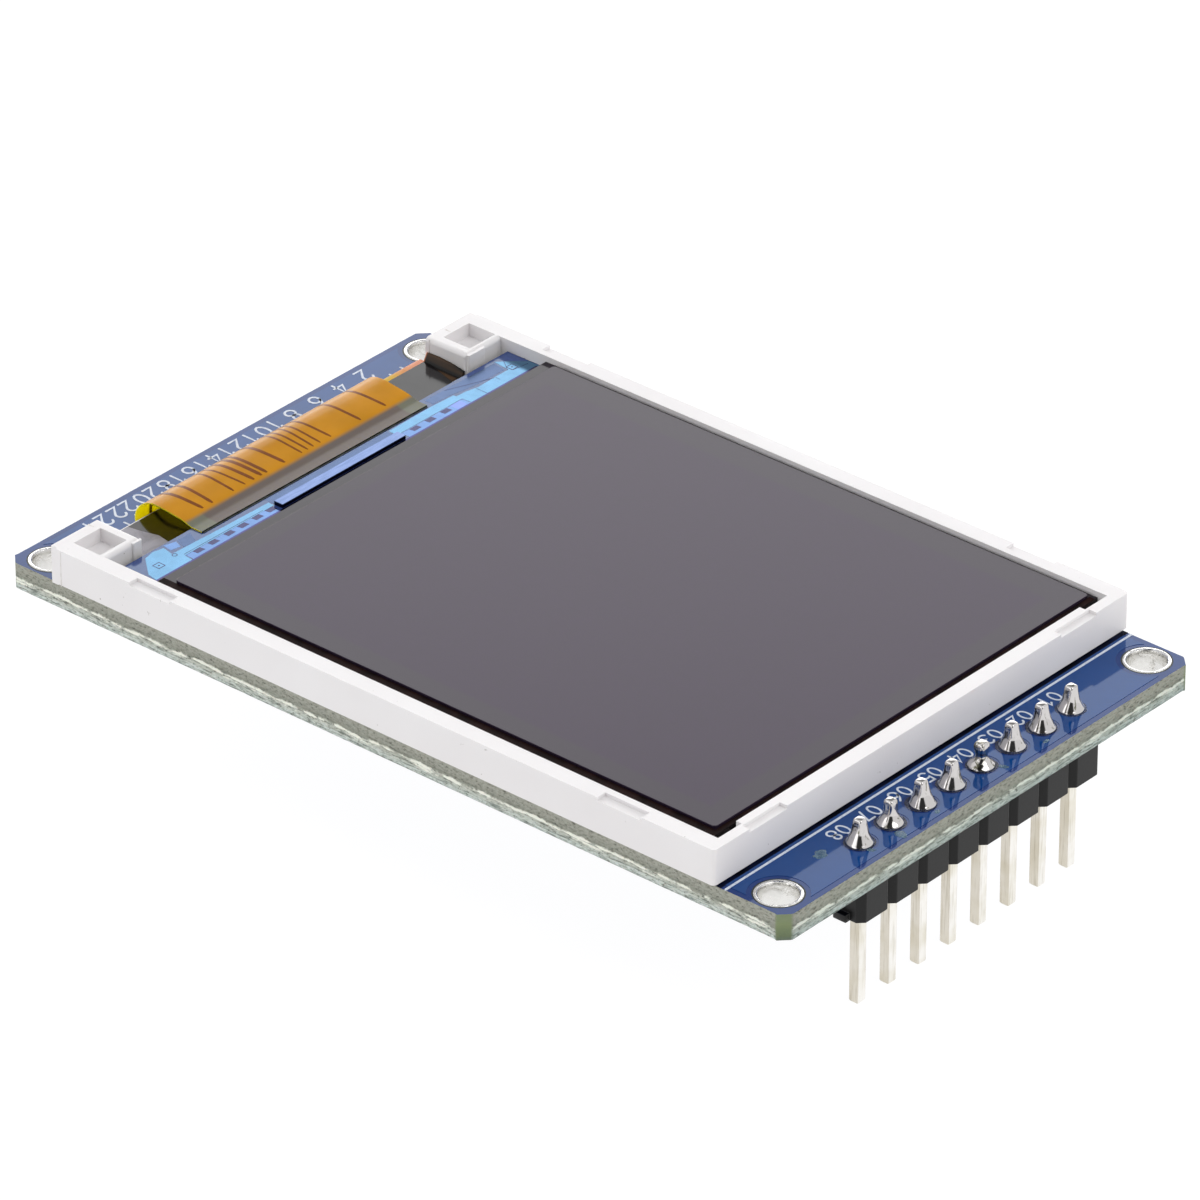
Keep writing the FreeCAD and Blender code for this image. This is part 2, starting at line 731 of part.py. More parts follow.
# Display flex: bonded flat on the glass ledge, lifted clear of it, then folded back under the frame
def make_flex_tail():
    body = new_body("flex_tail")
    bond_level = add(array_top, half(cell("flex_thickness")))
    crest_level = add(bond_level, cell("flex_rise"))
    start_y = add(glass_back, cell("flex_bond"))
    crest_y = less(glass_back, cell("flex_rise_run"))
    turn_y = add(frame_back, cell("bend_inset"))
    end_y = add(turn_y, cell("flex_return"))
    path = new_sketch(body, "flex_path", "YZ_Plane")
    terms = (start_y, glass_back, crest_y, bond_level, crest_level)
    y0, y1, y2, z0, z1 = [dims.evalExpression(term) for term in terms]
    rise, run = z1 - z0, y1 - y2
    radius = (rise ** 2 + run ** 2) / (4 * rise)
    lower = Part.Circle(FreeCAD.Vector(y1, z0 + radius, 0), UPWARD, radius)
    upper = Part.Circle(FreeCAD.Vector(y2, z1 - radius, 0), UPWARD, radius)
    slope = 2 * math.atan2(rise, run)
    path.addGeometry(Part.LineSegment(FreeCAD.Vector(y0, z0, 0), FreeCAD.Vector(y1, z0, 0)), False)
    path.addGeometry(Part.ArcOfCircle(lower, 3 * QUARTER_TURN - slope, 3 * QUARTER_TURN), False)
    path.addGeometry(Part.ArcOfCircle(upper, QUARTER_TURN - slope, QUARTER_TURN), False)
    draw_fold(path, crest_level, tail_low, crest_y, turn_y, end_y, cell("bend_radius"))
    for joint in ((0, 2, 1, 2), (1, 1, 2, 1), (2, 2, 3, 1)):
        path.addConstraint(Sketcher.Constraint("Tangent", *joint))
    path.addConstraint(Sketcher.Constraint("Horizontal", 0))
    path.addConstraint(Sketcher.Constraint("Equal", 1, 2))
    drive(path, Sketcher.Constraint("DistanceX", -1, 1, 0, 1, y0), start_y)
    drive(path, Sketcher.Constraint("DistanceY", -1, 1, 0, 1, z0), bond_level)
    drive(path, Sketcher.Constraint("DistanceX", -1, 1, 0, 2, y1), glass_back)
    flex_width = less(flex_right, flex_left)
    sweep(body, "flex", path, flex_width, half(add(flex_left, flex_right)), bond_level, start_y)


# Backlight flex: a strip over the lamps with a narrow tail folded down over the sill
def make_led_flex():
    body = new_body("led_flex")
    gap = cell("rim_tape_inset")
    strip_back = add(frame_back, gap)
    strip = block_sketch(
        body, "led_strip",
        (times(-1, flex_strip_side), strip_back),
        (flex_strip_side, add(strip_back, cell("led_flex_depth"))),
        sill_top,
    )
    pad(body, strip, cell("flex_thickness"))
    level = add(sill_top, half(cell("flex_thickness")))
    start_y = sill_front
    turn_y = less(frame_back, cell("flex_lift"))
    end_y = add(turn_y, cell("led_tail_run"))
    tail_x = less(half(cell("led_tail_width")), flex_strip_side)
    path = new_sketch(body, "led_tail_path", "YZ_Plane")
    draw_fold(path, level, tail_low, start_y, turn_y, end_y, cell("led_tail_radius"))
    sweep(body, "led_tail", path, cell("led_tail_width"), tail_x, level, start_y)


# Rim tape: a thin black ring under the glass, wide at the flex end and trimmed askew at one side
def make_rim_tape():
    body = new_body("rim_tape")
    inset = cell("rim_tape_inset")
    side = less(inner_side, inset)
    back = add(frame_back, inset)
    front = less(inner_front, inset)
    shoulder = add(block_front, inset)
    outline = new_sketch(body, "tape_outline", place=("0", "0", ledge_top))
    draw_outline(outline, [
        (times(-1, flex_strip_side), back),
        (flex_strip_side, back),
        (flex_strip_side, shoulder),
        (side, shoulder),
        (side, front),
        (times(-1, side), front),
        (times(-1, side), shoulder),
        (add(times(-1, flex_strip_side), cell("rim_tape_skew")), shoulder),
    ])
    pad(body, outline, cell("rim_tape_thickness"))
    margin = cell("rim_window_margin")
    low_x, high_x = across_glass(add(cell("film_inset"), margin))
    film_back = add(filter_back, cell("film_back_inset"))
    film_front = less(glass_front, cell("film_inset"))
    window = block_sketch(
        body, "tape_window",
        (low_x, add(film_back, margin)), (high_x, less(film_front, margin)),
        cell_floor,
    )
    pocket(body, window, ALL)


# Display cell: two glasses with a film on each face, and the driver chip on the ledge
def make_display_cell():
    low_x, high_x = across_glass("0")
    film_low_x, film_high_x = across_glass(cell("film_inset"))
    film_back = add(filter_back, cell("film_back_inset"))
    film_front = less(glass_front, cell("film_inset"))
    film_low, film_high = (film_low_x, film_back), (film_high_x, film_front)
    plate("rear_polarizer", film_low, film_high, cell_floor, cell("film_thickness"))
    glass = cell("glass_thickness")
    plate("array_glass", (low_x, glass_back), (high_x, glass_front), array_floor, glass)
    plate("colour_filter_glass", (low_x, filter_back), (high_x, glass_front), array_top, glass)
    plate("front_polarizer", film_low, film_high, filter_top, cell("film_thickness"))
    chip_front = less(filter_back, cell("chip_gap"))
    plate(
        "driver_chip",
        (times(-0.5, cell("chip_length")), less(chip_front, cell("chip_width"))),
        (half(cell("chip_length")), chip_front),
        array_top,
        cell("chip_height"),
    )


# Mounting tape: two strips that hold the frame on the board
def make_mounting_tape():
    outer = less(frame_side, cell("side_wall"))
    inner = less(outer, cell("mount_tape_width"))
    back = add(frame_back, cell("mount_tape_inset"))
    front = less(frame_front, cell("side_wall"))
    sides = {
        "mounting_tape_left": (times(-1, outer), times(-1, inner)),
        "mounting_tape_right": (inner, outer),
    }
    for label, (low, high) in sides.items():
        plate(label, (low, back), (high, front), board_top, cell("tape_thickness"))


def box_at(name, centre, size):
    """A plain box hung under the board, given by its centre in plan and its three sides."""
    item = doc.addObject("Part::Box", name)
    bind(item, {
        "Length": size[0],
        "Width": size[1],
        "Height": size[2],
        "Placement.Base.x": less(centre[0], half(size[0])),
        "Placement.Base.y": less(centre[1], half(size[1])),
        "Placement.Base.z": times(-1, size[2]),
    })
    return item


# Three-lead case on the underside, with its leads as one group
def make_three_lead_part(name, x_sign):
    centre = (times(x_sign, parts_x), parts_y)
    case = box_at(f"{name}_case", centre, (cell("case_width"), cell("case_depth"), cell("case_height")))
    name_part(case, f"{name}_case")
    reach = half(cell("lead_length"))
    near = less(centre[1], half(cell("case_depth")), reach)
    far = add(centre[1], half(cell("case_depth")), reach)
    places = [
        (less(centre[0], cell("lead_pitch")), near),
        (add(centre[0], cell("lead_pitch")), near),
        (centre[0], far),
    ]
    size = (cell("lead_width"), cell("lead_length"), cell("lead_thickness"))
    leads = doc.addObject("Part::MultiFuse", f"{name}_leads")
    leads.Shapes = [box_at(f"{name}_lead_{index + 1}", place, size) for index, place in enumerate(places)]
    name_part(leads, f"{name}_leads")


# Resistors and capacitors on the underside, with all their end caps as one group
def make_chip_parts():
    column = less(parts_y, times(2, cell("chip_part_spacing")))
    rows = {
        "chip_resistor_1": (parts_x, column, "resistor_height"),
        "chip_resistor_2": (parts_x, less(column, cell("chip_part_spacing")), "resistor_height"),
        "chip_resistor_3": (
            parts_x,
            less(column, times(2, cell("chip_part_spacing"))),
            "resistor_height",
        ),
        "chip_capacitor_1": (times(-1, parts_x), column, "capacitor_height"),
        "chip_capacitor_2": (
            times(-1, parts_x),
            less(column, cell("chip_part_spacing")),
            "capacitor_height",
        ),
    }
    caps = []
    core = less(cell("chip_part_length"), times(2, cell("end_cap")))
    for label, (x, y, height) in rows.items():
        name_part(box_at(label, (x, y), (core, cell("chip_part_width"), cell(height))), label)
        for side, sign in (("a", -1), ("b", 1)):
            cap_x = add(x, times(sign, half(add(core, cell("end_cap")))))
            size = (cell("end_cap"), cell("chip_part_width"), cell(height))
            caps.append(box_at(f"{label}_cap_{side}", (cap_x, y), size))
    group = doc.addObject("Part::MultiFuse", "chip_end_caps")
    group.Shapes = caps
    name_part(group, "chip_end_caps")


make_board()
make_hole_plating()
make_housing()
for pin in range(PIN_COUNT):
    make_pin(pin)
    make_joint(pin)
make_frame()
make_backlight()
make_led_flex()
make_rim_tape()
make_display_cell()
make_flex_tail()
make_mounting_tape()
make_three_lead_part("voltage_regulator", -1)
make_three_lead_part("backlight_transistor", 1)
make_chip_parts()
doc.recompute()

failed = [item.Name for item in doc.Objects if {"Invalid", "Error"} & set(item.State)]
if failed:
    raise RuntimeError(f"these objects failed to build: {failed}")
for item in sub_parts:
    if item.Shape.isNull() or not item.Shape.isValid() or not item.Shape.Solids:
        raise RuntimeError(f"{item.Label} has no valid solid")

for item in sub_parts:
    item.Shape.exportStep(f"parts/{item.Label}.step")
print(f"{len(sub_parts)} sub-parts written")
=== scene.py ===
import math

import bmesh
import bpy
from bpy.props import FloatProperty, FloatVectorProperty, IntProperty, PointerProperty
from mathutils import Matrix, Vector, noise


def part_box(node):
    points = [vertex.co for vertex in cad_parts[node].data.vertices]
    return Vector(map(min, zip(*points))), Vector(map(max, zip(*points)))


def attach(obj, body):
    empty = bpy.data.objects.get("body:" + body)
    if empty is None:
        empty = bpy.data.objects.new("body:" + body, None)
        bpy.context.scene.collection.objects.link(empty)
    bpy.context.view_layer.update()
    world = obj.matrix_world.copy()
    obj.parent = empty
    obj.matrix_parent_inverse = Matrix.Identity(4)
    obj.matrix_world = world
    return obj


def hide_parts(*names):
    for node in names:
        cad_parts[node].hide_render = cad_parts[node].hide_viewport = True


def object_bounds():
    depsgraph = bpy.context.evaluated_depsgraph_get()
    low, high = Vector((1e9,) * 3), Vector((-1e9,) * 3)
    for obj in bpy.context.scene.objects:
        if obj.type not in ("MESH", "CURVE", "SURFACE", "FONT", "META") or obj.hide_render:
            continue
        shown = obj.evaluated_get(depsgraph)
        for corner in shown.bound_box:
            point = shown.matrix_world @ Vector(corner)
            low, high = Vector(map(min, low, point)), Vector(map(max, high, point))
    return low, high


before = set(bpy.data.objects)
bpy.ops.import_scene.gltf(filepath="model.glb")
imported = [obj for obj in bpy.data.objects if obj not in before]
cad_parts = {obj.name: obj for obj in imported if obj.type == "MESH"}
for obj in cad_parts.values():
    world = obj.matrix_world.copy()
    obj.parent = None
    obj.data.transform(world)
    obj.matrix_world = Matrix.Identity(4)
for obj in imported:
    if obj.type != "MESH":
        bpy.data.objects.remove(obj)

bl_info = {
    "name": "TFT display module dresser",
    "version": (1, 0, 0),
    "blender": (4, 5, 0),
    "location": "View3D > Sidebar > TFT module",
    "description": "Dresses the packed display module with detailed pieces, finishes and a studio",
    "category": "Object",
}

CAD_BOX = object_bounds()
MM = 0.001


def linear(code):
    """Turns an sRGB hex colour into linear red, green, blue and alpha."""
    values = [int(code[place:place + 2], 16) / 255 for place in (1, 3, 5)]
    return (*(v / 12.92 if v <= 0.04045 else ((v + 0.055) / 1.055) ** 2.4 for v in values), 1.0)


def box_mm(node):
    """The lowest and highest corners of a CAD node in millimetres."""
    low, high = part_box(node)
    return low / MM, high / MM


# Settings that a user would change

def colour_setting(name, description, code):
    """A colour that a user would change."""
    return FloatVectorProperty(
        name=name, description=description, subtype="COLOR", size=4, min=0.0, max=1.0,
        default=linear(code))


def size_setting(name, description, default, low, high):
    """A size in millimetres that a user would change."""
    return FloatProperty(
        name=name, description=f"{description}, in millimetres", default=default, min=low, max=high)


class BoardSettings(bpy.types.PropertyGroup):
    mask_colour: colour_setting("Solder mask", "Colour of the mask over copper", "#043E80")
    bare_mask_colour: colour_setting(
        "Mask off copper", "Colour of the mask where no copper lies under it", "#032E72")
    ink_colour: colour_setting("Legend ink", "Colour of the printed legend", "#D3DAE6")
    edge_tear: size_setting(
        "Edge tear", "Depth of the torn glass along the routed edge", 0.035, 0.0, 0.2)
    copper_step: size_setting("Copper step", "Height of the mask over copper", 0.02, 0.0, 0.1)
    legend_line: size_setting("Legend line", "Width of the printed lines", 0.15, 0.05, 0.5)


class SolderSettings(bpy.types.PropertyGroup):
    foot_radius: size_setting(
        "Foot radius", "Radius of a solder joint on the board", 0.75, 0.5, 1.2)
    unevenness: size_setting(
        "Unevenness", "How far a joint departs from round", 0.013, 0.0, 0.2)
    seed: IntProperty(
        name="Seed", description="Picks the irregularities of the joints", default=7, min=0)


class FrameSettings(bpy.types.PropertyGroup):
    plastic_colour: colour_setting("Frame plastic", "Colour of the white moulding", "#E7E5E6")
    edge_round: size_setting("Edge round", "Radius on the moulding's edges", 0.035, 0.0, 0.2)


class PanelSettings(bpy.types.PropertyGroup):
    film_colour: colour_setting(
        "Screen film", "Colour of the polarizer over the dark cell", "#250C31")
    film_slip: size_setting(
        "Film slip", "How far the screen film lies off centre", 0.17, 0.0, 0.2)
    corner_round: size_setting("Film corner", "Corner radius of the screen film", 0.25, 0.05, 2.0)


class FlexSettings(bpy.types.PropertyGroup):
    film_colour: colour_setting("Flex film", "Colour of polyimide over copper", "#C98B24")
    track_colour: colour_setting(
        "Track gap", "Colour of the gaps between the flex's copper tracks", "#7F430C")


class StudioSettings(bpy.types.PropertyGroup):
    floor_colour: colour_setting("Floor", "Surface colour of the light table", "#585858")
    tent_strength: FloatProperty(
        name="Tent", description="Brightness of the white surround", default=0.96, min=0.0, max=5.0)
    back_strength: FloatProperty(
        name="Back", description="Extra brightness low behind the object", default=2.3, min=0.0,
        max=9.0)
    key_power: FloatProperty(
        name="Key", description="Power of the key light", default=1.45, min=0.0, max=50.0,
        unit="POWER")


def settings(group):
    """The scene's settings of one group."""
    return getattr(bpy.context.scene, f"tft_{group}")


# Node and material tools

BLENDED = {"data_type": "RGBA"}
MULTIPLIED = {"data_type": "RGBA", "blend_type": "MULTIPLY"}
SMOOTHED = {"interpolation_type": "SMOOTHSTEP"}
RANGE = ("From Min", "From Max", "To Min", "To Max")


def add_node(tree, kind, inputs=None, ramp=(), **options):
    """Adds one shader node with its options, its values or links, and its colour stops.

    A node among the values links its first working output, and a hex code becomes a colour.
    """
    node = tree.nodes.new("ShaderNode" + kind)
    for name, value in options.items():
        setattr(node, name, value)
    for name, value in (inputs or {}).items():
        if isinstance(value, bpy.types.Node):
            value = next(socket for socket in value.outputs if socket.enabled)
        if isinstance(value, bpy.types.NodeSocket):
            tree.links.new(value, node.inputs[name])
        else:
            node.inputs[name].default_value = linear(value) if isinstance(value, str) else value
    for position, colour in ramp[1:-1]:
        node.color_ramp.elements.new(position)
    for index, (position, colour) in enumerate(ramp):
        stop = node.color_ramp.elements[index]
        stop.position = position
        stop.color = linear(colour) if isinstance(colour, str) else colour
    return node


def per_mm(size):
    """Texture scale, in cycles a metre, of a pattern of this size in millimetres."""
    return 1 / (size * MM)


def shaded(colour, share):
    """A colour at a share of its brightness."""
    return tuple(channel * share for channel in colour[:3]) + (1.0,)


def facing(tree, axis):
    """How far the surface faces along one axis."""
    normal = add_node(tree, "NewGeometry").outputs["Normal"]
    return add_node(tree, "SeparateXYZ", {"Vector": normal}).outputs[axis]


def mottled(tree, place, values, size, detail, stops=(), bump=(), haze=(), texture="TexNoise",
            **grain):
    """Shader values with one pattern behind the colour, the relief and the roughness.

    The size is in millimetres, the bump is a strength and a depth in millimetres, and the haze
    maps the pattern to a roughness.
    """
    values = dict(values)
    pattern = add_node(tree, texture, {
        "Vector": place, "Scale": per_mm(size), "Detail": detail, **grain})
    if stops:
        values["Base Color"] = add_node(tree, "ValToRGB", {"Fac": pattern}, stops)
    if bump:
        values["Normal"] = add_node(tree, "Bump", {
            "Height": pattern, "Strength": bump[0], "Distance": bump[1] * MM})
    if haze:
        values["Roughness"] = add_node(
            tree, "MapRange", {"Value": pattern, **dict(zip(RANGE, haze))})
    return values


MADE = {}


def finish_of(maker, *details):
    """The one material that a maker describes, with the maker's values on a Principled shader."""
    name = "_".join([maker.__name__, *map(str, details[:1])])
    if name not in MADE:
        material = MADE[name] = bpy.data.materials.new(name)
        material.use_nodes = True
        tree = material.node_tree
        tree.nodes.clear()
        place = add_node(tree, "TexCoord").outputs["Object"]
        shader = add_node(tree, "BsdfPrincipled", maker(tree, place, *details))
        add_node(tree, "OutputMaterial", {"Surface": shader})
    return MADE[name]


# Finishes

def mask_gloss(tree, place, colour, share):
    """Liquid solder mask, printed and cured: a hard glossy coat with a faint orange peel."""
    coat = mottled(tree, place, {
        "Roughness": 0.06, "IOR": 1.5, "Specular IOR Level": 0.36,
        "Specular Tint": (0.58, 0.75, 1.0, 1.0)},
        4.0, 3.0, ((0.3, shaded(colour, share)), (0.7, colour)), Roughness=0.55)
    return mottled(tree, place, coat, 0.9, 2.0, bump=(0.25, 0.004))


def solder_mask_over_copper(tree, place):
    """Mask on bright copper: a clear mid blue."""
    return mask_gloss(tree, place, tuple(settings("board").mask_colour), 0.82)


def solder_mask_over_laminate(tree, place):
    """Mask on bare laminate: a deeper blue."""
    return mask_gloss(tree, place, tuple(settings("board").bare_mask_colour), 0.8)


def routed_glass_laminate(tree, place):
    """Glass and epoxy laminate, routed: a granular greenish grey, torn white fibres low down."""
    height = add_node(tree, "SeparateXYZ", {"Vector": place}).outputs["Z"]
    depth = add_node(tree, "MapRange", {"Value": height, "From Min": 0.0, "From Max": 1.6 * MM})
    fibre_space = add_node(tree, "Mapping", {"Vector": place, "Scale": (1.0, 1.0, 2.2)})
    # Glass grains are finer than this; they are drawn 0.3 mm wide so that they show
    grit = add_node(tree, "TexNoise", {
        "Vector": fibre_space, "Scale": per_mm(0.3), "Detail": 4.0, "Roughness": 0.75})
    shift = add_node(tree, "Math", {0: grit, 1: 0.3}, operation="MULTIPLY")
    band = add_node(tree, "Math", {0: depth, 1: shift}, operation="ADD")
    body = add_node(tree, "ValToRGB", {"Fac": band}, (
        (0.05, "#A2AEB0"), (0.3, "#D6DEDC"), (0.5, "#C4C7C0"), (0.68, "#94978C"), (1.0, "#A3A499")))
    speck = add_node(tree, "ValToRGB", {"Fac": grit}, (
        (0.34, "#62645A"), (0.45, "#E4E4E0"), (0.62, "#FFFFFF")))
    worn = add_node(tree, "Mix", {0: 0.95, 6: body, 7: speck}, **MULTIPLIED)
    thread_space = add_node(tree, "Mapping", {"Vector": place, "Scale": (0.14, 0.14, 1.5)})
    # Glass threads are a hundredth of a millimetre thick; they are drawn in 0.17 mm strands
    threads = mottled(tree, thread_space, {}, 0.17, 3.0, (
        (0.36, "#9EA39E"), (0.5, "#F6F7F1"), (0.66, "#FFFFFF")), Roughness=0.6)["Base Color"]
    low_down = add_node(tree, "MapRange", {"Value": depth, "From Min": 0.62, "From Max": 0.42})
    threaded = add_node(tree, "Mix", {0: low_down, 6: worn, 7: threads}, **MULTIPLIED)
    streak = add_node(tree, "Attribute", attribute_name="streak").outputs["Fac"]
    rag = add_node(tree, "Math", {0: grit, 1: 1.5}, operation="MULTIPLY")
    ragged = add_node(tree, "Math", {0: streak, 1: rag}, operation="ADD")
    fibre = add_node(tree, "MapRange", {"Value": ragged, "From Min": 1.08, "From Max": 1.5})
    torn = add_node(tree, "Mix", {0: fibre, 6: threaded, 7: "#ECEEE2"}, **BLENDED)
    sawn = add_node(tree, "Attribute", attribute_name="sawn").outputs["Fac"]
    green = add_node(tree, "ValToRGB", {"Fac": band}, (
        (0.1, "#5E6C62"), (0.3, "#6A7854"), (0.75, "#7D8B60"), (1.0, "#7D8B66")))
    cut = add_node(tree, "Mix", {0: sawn, 6: torn, 7: green}, **BLENDED)
    # The ends, which face along Y, are painted greyer than the long sides: painted shade
    shaded_end_share = add_node(tree, "Math", {0: facing(tree, "Y")}, operation="ABSOLUTE")
    grey = add_node(tree, "ValToRGB", {"Fac": depth}, ((0.35, "#D6DDDD"), (0.6, "#E8EAE8")))
    dull = add_node(tree, "Mix", {0: shaded_end_share, 6: cut, 7: grey}, **MULTIPLIED)
    rough = add_node(tree, "Bump", {"Height": grit, "Strength": 0.9, "Distance": 0.05 * MM})
    return {
        "Base Color": dull, "Normal": rough, "Roughness": 0.6, "IOR": 1.55,
        "Subsurface Weight": 0.05, "Subsurface Scale": 0.3 * MM}


def legend_ink(tree, place):
    """Screen-printed epoxy ink: matt white, a little thin at its edges."""
    return mottled(tree, place, {"Roughness": 0.55, "IOR": 1.48}, 0.22, 3.0, (
        (0.28, "#AEBBD2"), (0.46, tuple(settings("board").ink_colour))), Roughness=0.6)


def tinned_copper(tree, place):
    """Hot-air levelled tin on copper: bright, with soft runs and dimples."""
    return mottled(
        tree, place, {"Base Color": "#E6E5E2", "Metallic": 1.0}, 0.7, 3.0, bump=(0.7, 0.09),
        haze=(0.3, 0.7, 0.16, 0.36), Roughness=0.6, Distortion=0.6)


def drawn_pin_plating(tree, place):
    """Bright tin over drawn brass wire: warm silver with die lines along the pin."""
    stretched = add_node(tree, "Mapping", {"Vector": place, "Scale": (1.0, 1.0, 0.05)})
    # Die lines are finer than this; they are drawn 0.11 mm apart so that they show
    scored = mottled(tree, stretched, {}, 0.11, 3.0, ((0.3, "#DAD7D0"), (0.5, "#FFFFFF")),
                     (0.45, 0.02), Roughness=0.6)
    warm = mottled(tree, place, {}, 1.6, 2.0, ((0.35, "#E8E4D8"), (0.62, "#F6F4EF")))
    lined = add_node(tree, "Mix", {
        0: 0.7, 6: warm["Base Color"], 7: scored["Base Color"]}, **MULTIPLIED)
    # The two faces that face along X are painted duller than the other two: painted shade
    flank = add_node(tree, "Math", {0: facing(tree, "X")}, operation="ABSOLUTE")
    x_face_shade_share = add_node(tree, "MapRange", {"Value": flank, "From Min": 0.4, "From Max": 0.8})
    x_face_shaded = add_node(tree, "Mix", {0: 1.0, 6: lined, 7: "#E2DED6"}, **MULTIPLIED)
    tint = add_node(tree, "Mix", {0: x_face_shade_share, 6: lined, 7: x_face_shaded}, **BLENDED)
    return {"Base Color": tint, "Metallic": 1.0, "Roughness": 0.3, "Normal": scored["Normal"]}


def hand_solder(tree, place, tarnish):
    """Lead-free solder frozen from hand soldering: a bright skin with flow lines and dull spots."""
    flow_space = add_node(tree, "Mapping", {"Vector": place, "Scale": (1.0, 1.0, 0.35)})
    return mottled(
        tree, flow_space, {"Metallic": 1.0}, 0.33, 4.0,
        ((0.3 + 0.2 * tarnish, "#6B6A58"), (0.42 + 0.2 * tarnish, "#CECBCA")), (0.12, 0.02),
        (0.35, 0.7, 0.13, 0.05), Roughness=0.6, Distortion=0.8)


def moulded_header_nylon(tree, place):
    """Black glass-filled nylon, injection moulded: satin, with pale fibre specks."""
    # Its fibres are finer than this; they are drawn 0.16 mm wide so that they show
    return mottled(tree, place, {"Roughness": 0.4, "IOR": 1.53, "Specular IOR Level": 0.28},
                   0.16, 4.0, ((0.5, "#050505"), (0.68, "#0A0A0B"), (0.78, "#4C4C4E")),
                   (0.5, 0.012), Roughness=0.7)


def moulded_white_polycarbonate(tree, place):
    """White polycarbonate, injection moulded: satin, slightly translucent, a few grey specks."""
    colour = tuple(settings("frame").plastic_colour)
    speck = mottled(
        tree, place, {}, 0.55, 4.0, ((0.27, "#8E8880"), (0.295, colour)), Roughness=0.75)
    tone = mottled(tree, place, {}, 7.0, 2.0, ((0.3, "#FAF9F9"), (0.7, "#FFFFFF")))
    mixed = add_node(tree, "Mix", {
        0: 1.0, 6: speck["Base Color"], 7: tone["Base Color"]}, **MULTIPLIED)
    # The mould's spark grain is finer than this; it is drawn 0.14 mm wide so that it shows
    return mottled(tree, place, {
        "Base Color": mixed, "Roughness": 0.42, "IOR": 1.58, "Specular IOR Level": 0.35,
        "Subsurface Weight": 0.1, "Subsurface Scale": 0.25 * MM,
        "Subsurface Radius": (1.0, 0.92, 0.85)}, 0.14, 3.0, bump=(0.4, 0.008), Roughness=0.6)


def aged_polycarbonate(tree, place):
    """The same white plastic in thin pale grey lines where grooves and steps of the moulding lie in
    shade: painted shade.
    """
    return mottled(tree, place, {"Roughness": 0.6, "IOR": 1.58}, 0.3, 3.0, (
        (0.35, "#C4BEB8"), (0.6, "#E0DCDA")))


def frame_adhesive(tree, place):
    """A near-black, satin line along the frame's foot, where the moulding shades the board: painted
    shadow.
    """
    return mottled(tree, place, {"Roughness": 0.5, "IOR": 1.45, "Specular IOR Level": 0.06},
                   1.4, 3.0, ((0.35, "#03050F"), (0.7, "#0A1230")))


def edge_sealant(tree, place):
    """Black-brown sealant on the rim of the glass cell: matt, so the rim stays dark."""
    return mottled(tree, place, {"Roughness": 0.6, "IOR": 1.45, "Specular IOR Level": 0.05},
                   0.9, 3.0, ((0.35, "#0E0504"), (0.7, "#241210")))


def coated_polarizer(tree, place):
    """Hard-coated polarizer film on the dark cell: a soft glossy black with a fine speckle."""
    colour = tuple(settings("panel").film_colour)
    # The hard coat's grain is finer than this; it is drawn 0.3 mm wide so that it shows
    values = mottled(tree, place, {
        "Roughness": 0.14, "IOR": 1.5, "Specular IOR Level": 0.26,
        "Specular Tint": (1.0, 0.96, 1.0, 1.0)},
        0.3, 4.0, ((0.3, shaded(colour, 0.7)), (0.7, colour)), (0.12, 0.004), Roughness=0.7)
    parts = add_node(tree, "SeparateXYZ", {"Vector": place})
    # Outside the picture area the cell below has a dark border
    outside = []
    for axis, shift, edge in (("X", 0.15, 14.0), ("Y", -2.08, 17.95)):
        moved = add_node(tree, "Math", {0: parts.outputs[axis], 1: shift * MM}, operation="ADD")
        away = add_node(tree, "Math", {0: moved}, operation="ABSOLUTE")
        outside.append(add_node(tree, "MapRange", {
            "Value": away, "From Min": edge * MM, "From Max": (edge + 0.1) * MM}))
    border = add_node(tree, "Math", {0: outside[0], 1: outside[1]}, operation="MAXIMUM")
    values["Base Color"] = add_node(tree, "Mix", {
        0: border, 6: values["Base Color"], 7: "#241A2A"}, **BLENDED)
    return values


def panel_glass(tree, place, low, high, values):
    """Thin display glass, scribed and broken: a tinted face and glossy near-black cut edges."""
    level_face = add_node(tree, "Math", {0: facing(tree, "Z")}, operation="ABSOLUTE")
    chips = add_node(tree, "TexNoise", {
        "Vector": place, "Scale": per_mm(0.5), "Detail": 4.0, "Roughness": 0.7})
    edge = add_node(tree, "ValToRGB", {"Fac": chips}, (
        (0.35, "#060505"), (0.55, "#120D0A"), (0.7, "#2A2018")))
    flat = add_node(tree, "ValToRGB", {"Fac": chips}, ((0.3, low), (0.7, high)))
    shade = add_node(tree, "Mix", {0: level_face, 6: edge, 7: flat}, **BLENDED)
    nick = add_node(tree, "Bump", {"Height": chips, "Strength": 0.15, "Distance": 0.01 * MM})
    return {"Base Color": shade, "Normal": nick, "IOR": 1.5, **values}


def scribed_array_glass(tree, place):
    """The lower glass: a thin clear coating gives its bare ledge a steel-blue sheen."""
    return panel_glass(tree, place, "#2E3E74", "#3A4E86", {
        "Roughness": 0.08, "Specular IOR Level": 0.52, "Specular Tint": (0.66, 0.88, 1.0, 1.0)})


def black_bordered_glass(tree, place):
    """The upper glass: near-black, with a soft gloss."""
    return panel_glass(tree, place, "#140B16", "#1E1422", {
        "Roughness": 0.14, "Specular IOR Level": 0.26})


def sputtered_film(tree, place, name, code, roughness):
    """A sputtered metal film on glass: mirror-like, coloured by its clear coating."""
    return mottled(tree, place, {"Metallic": 1.0, "Roughness": roughness}, 1.3, 3.0, (
        (0.3, shaded(linear(code), 0.82)), (0.7, code)), Roughness=0.6)


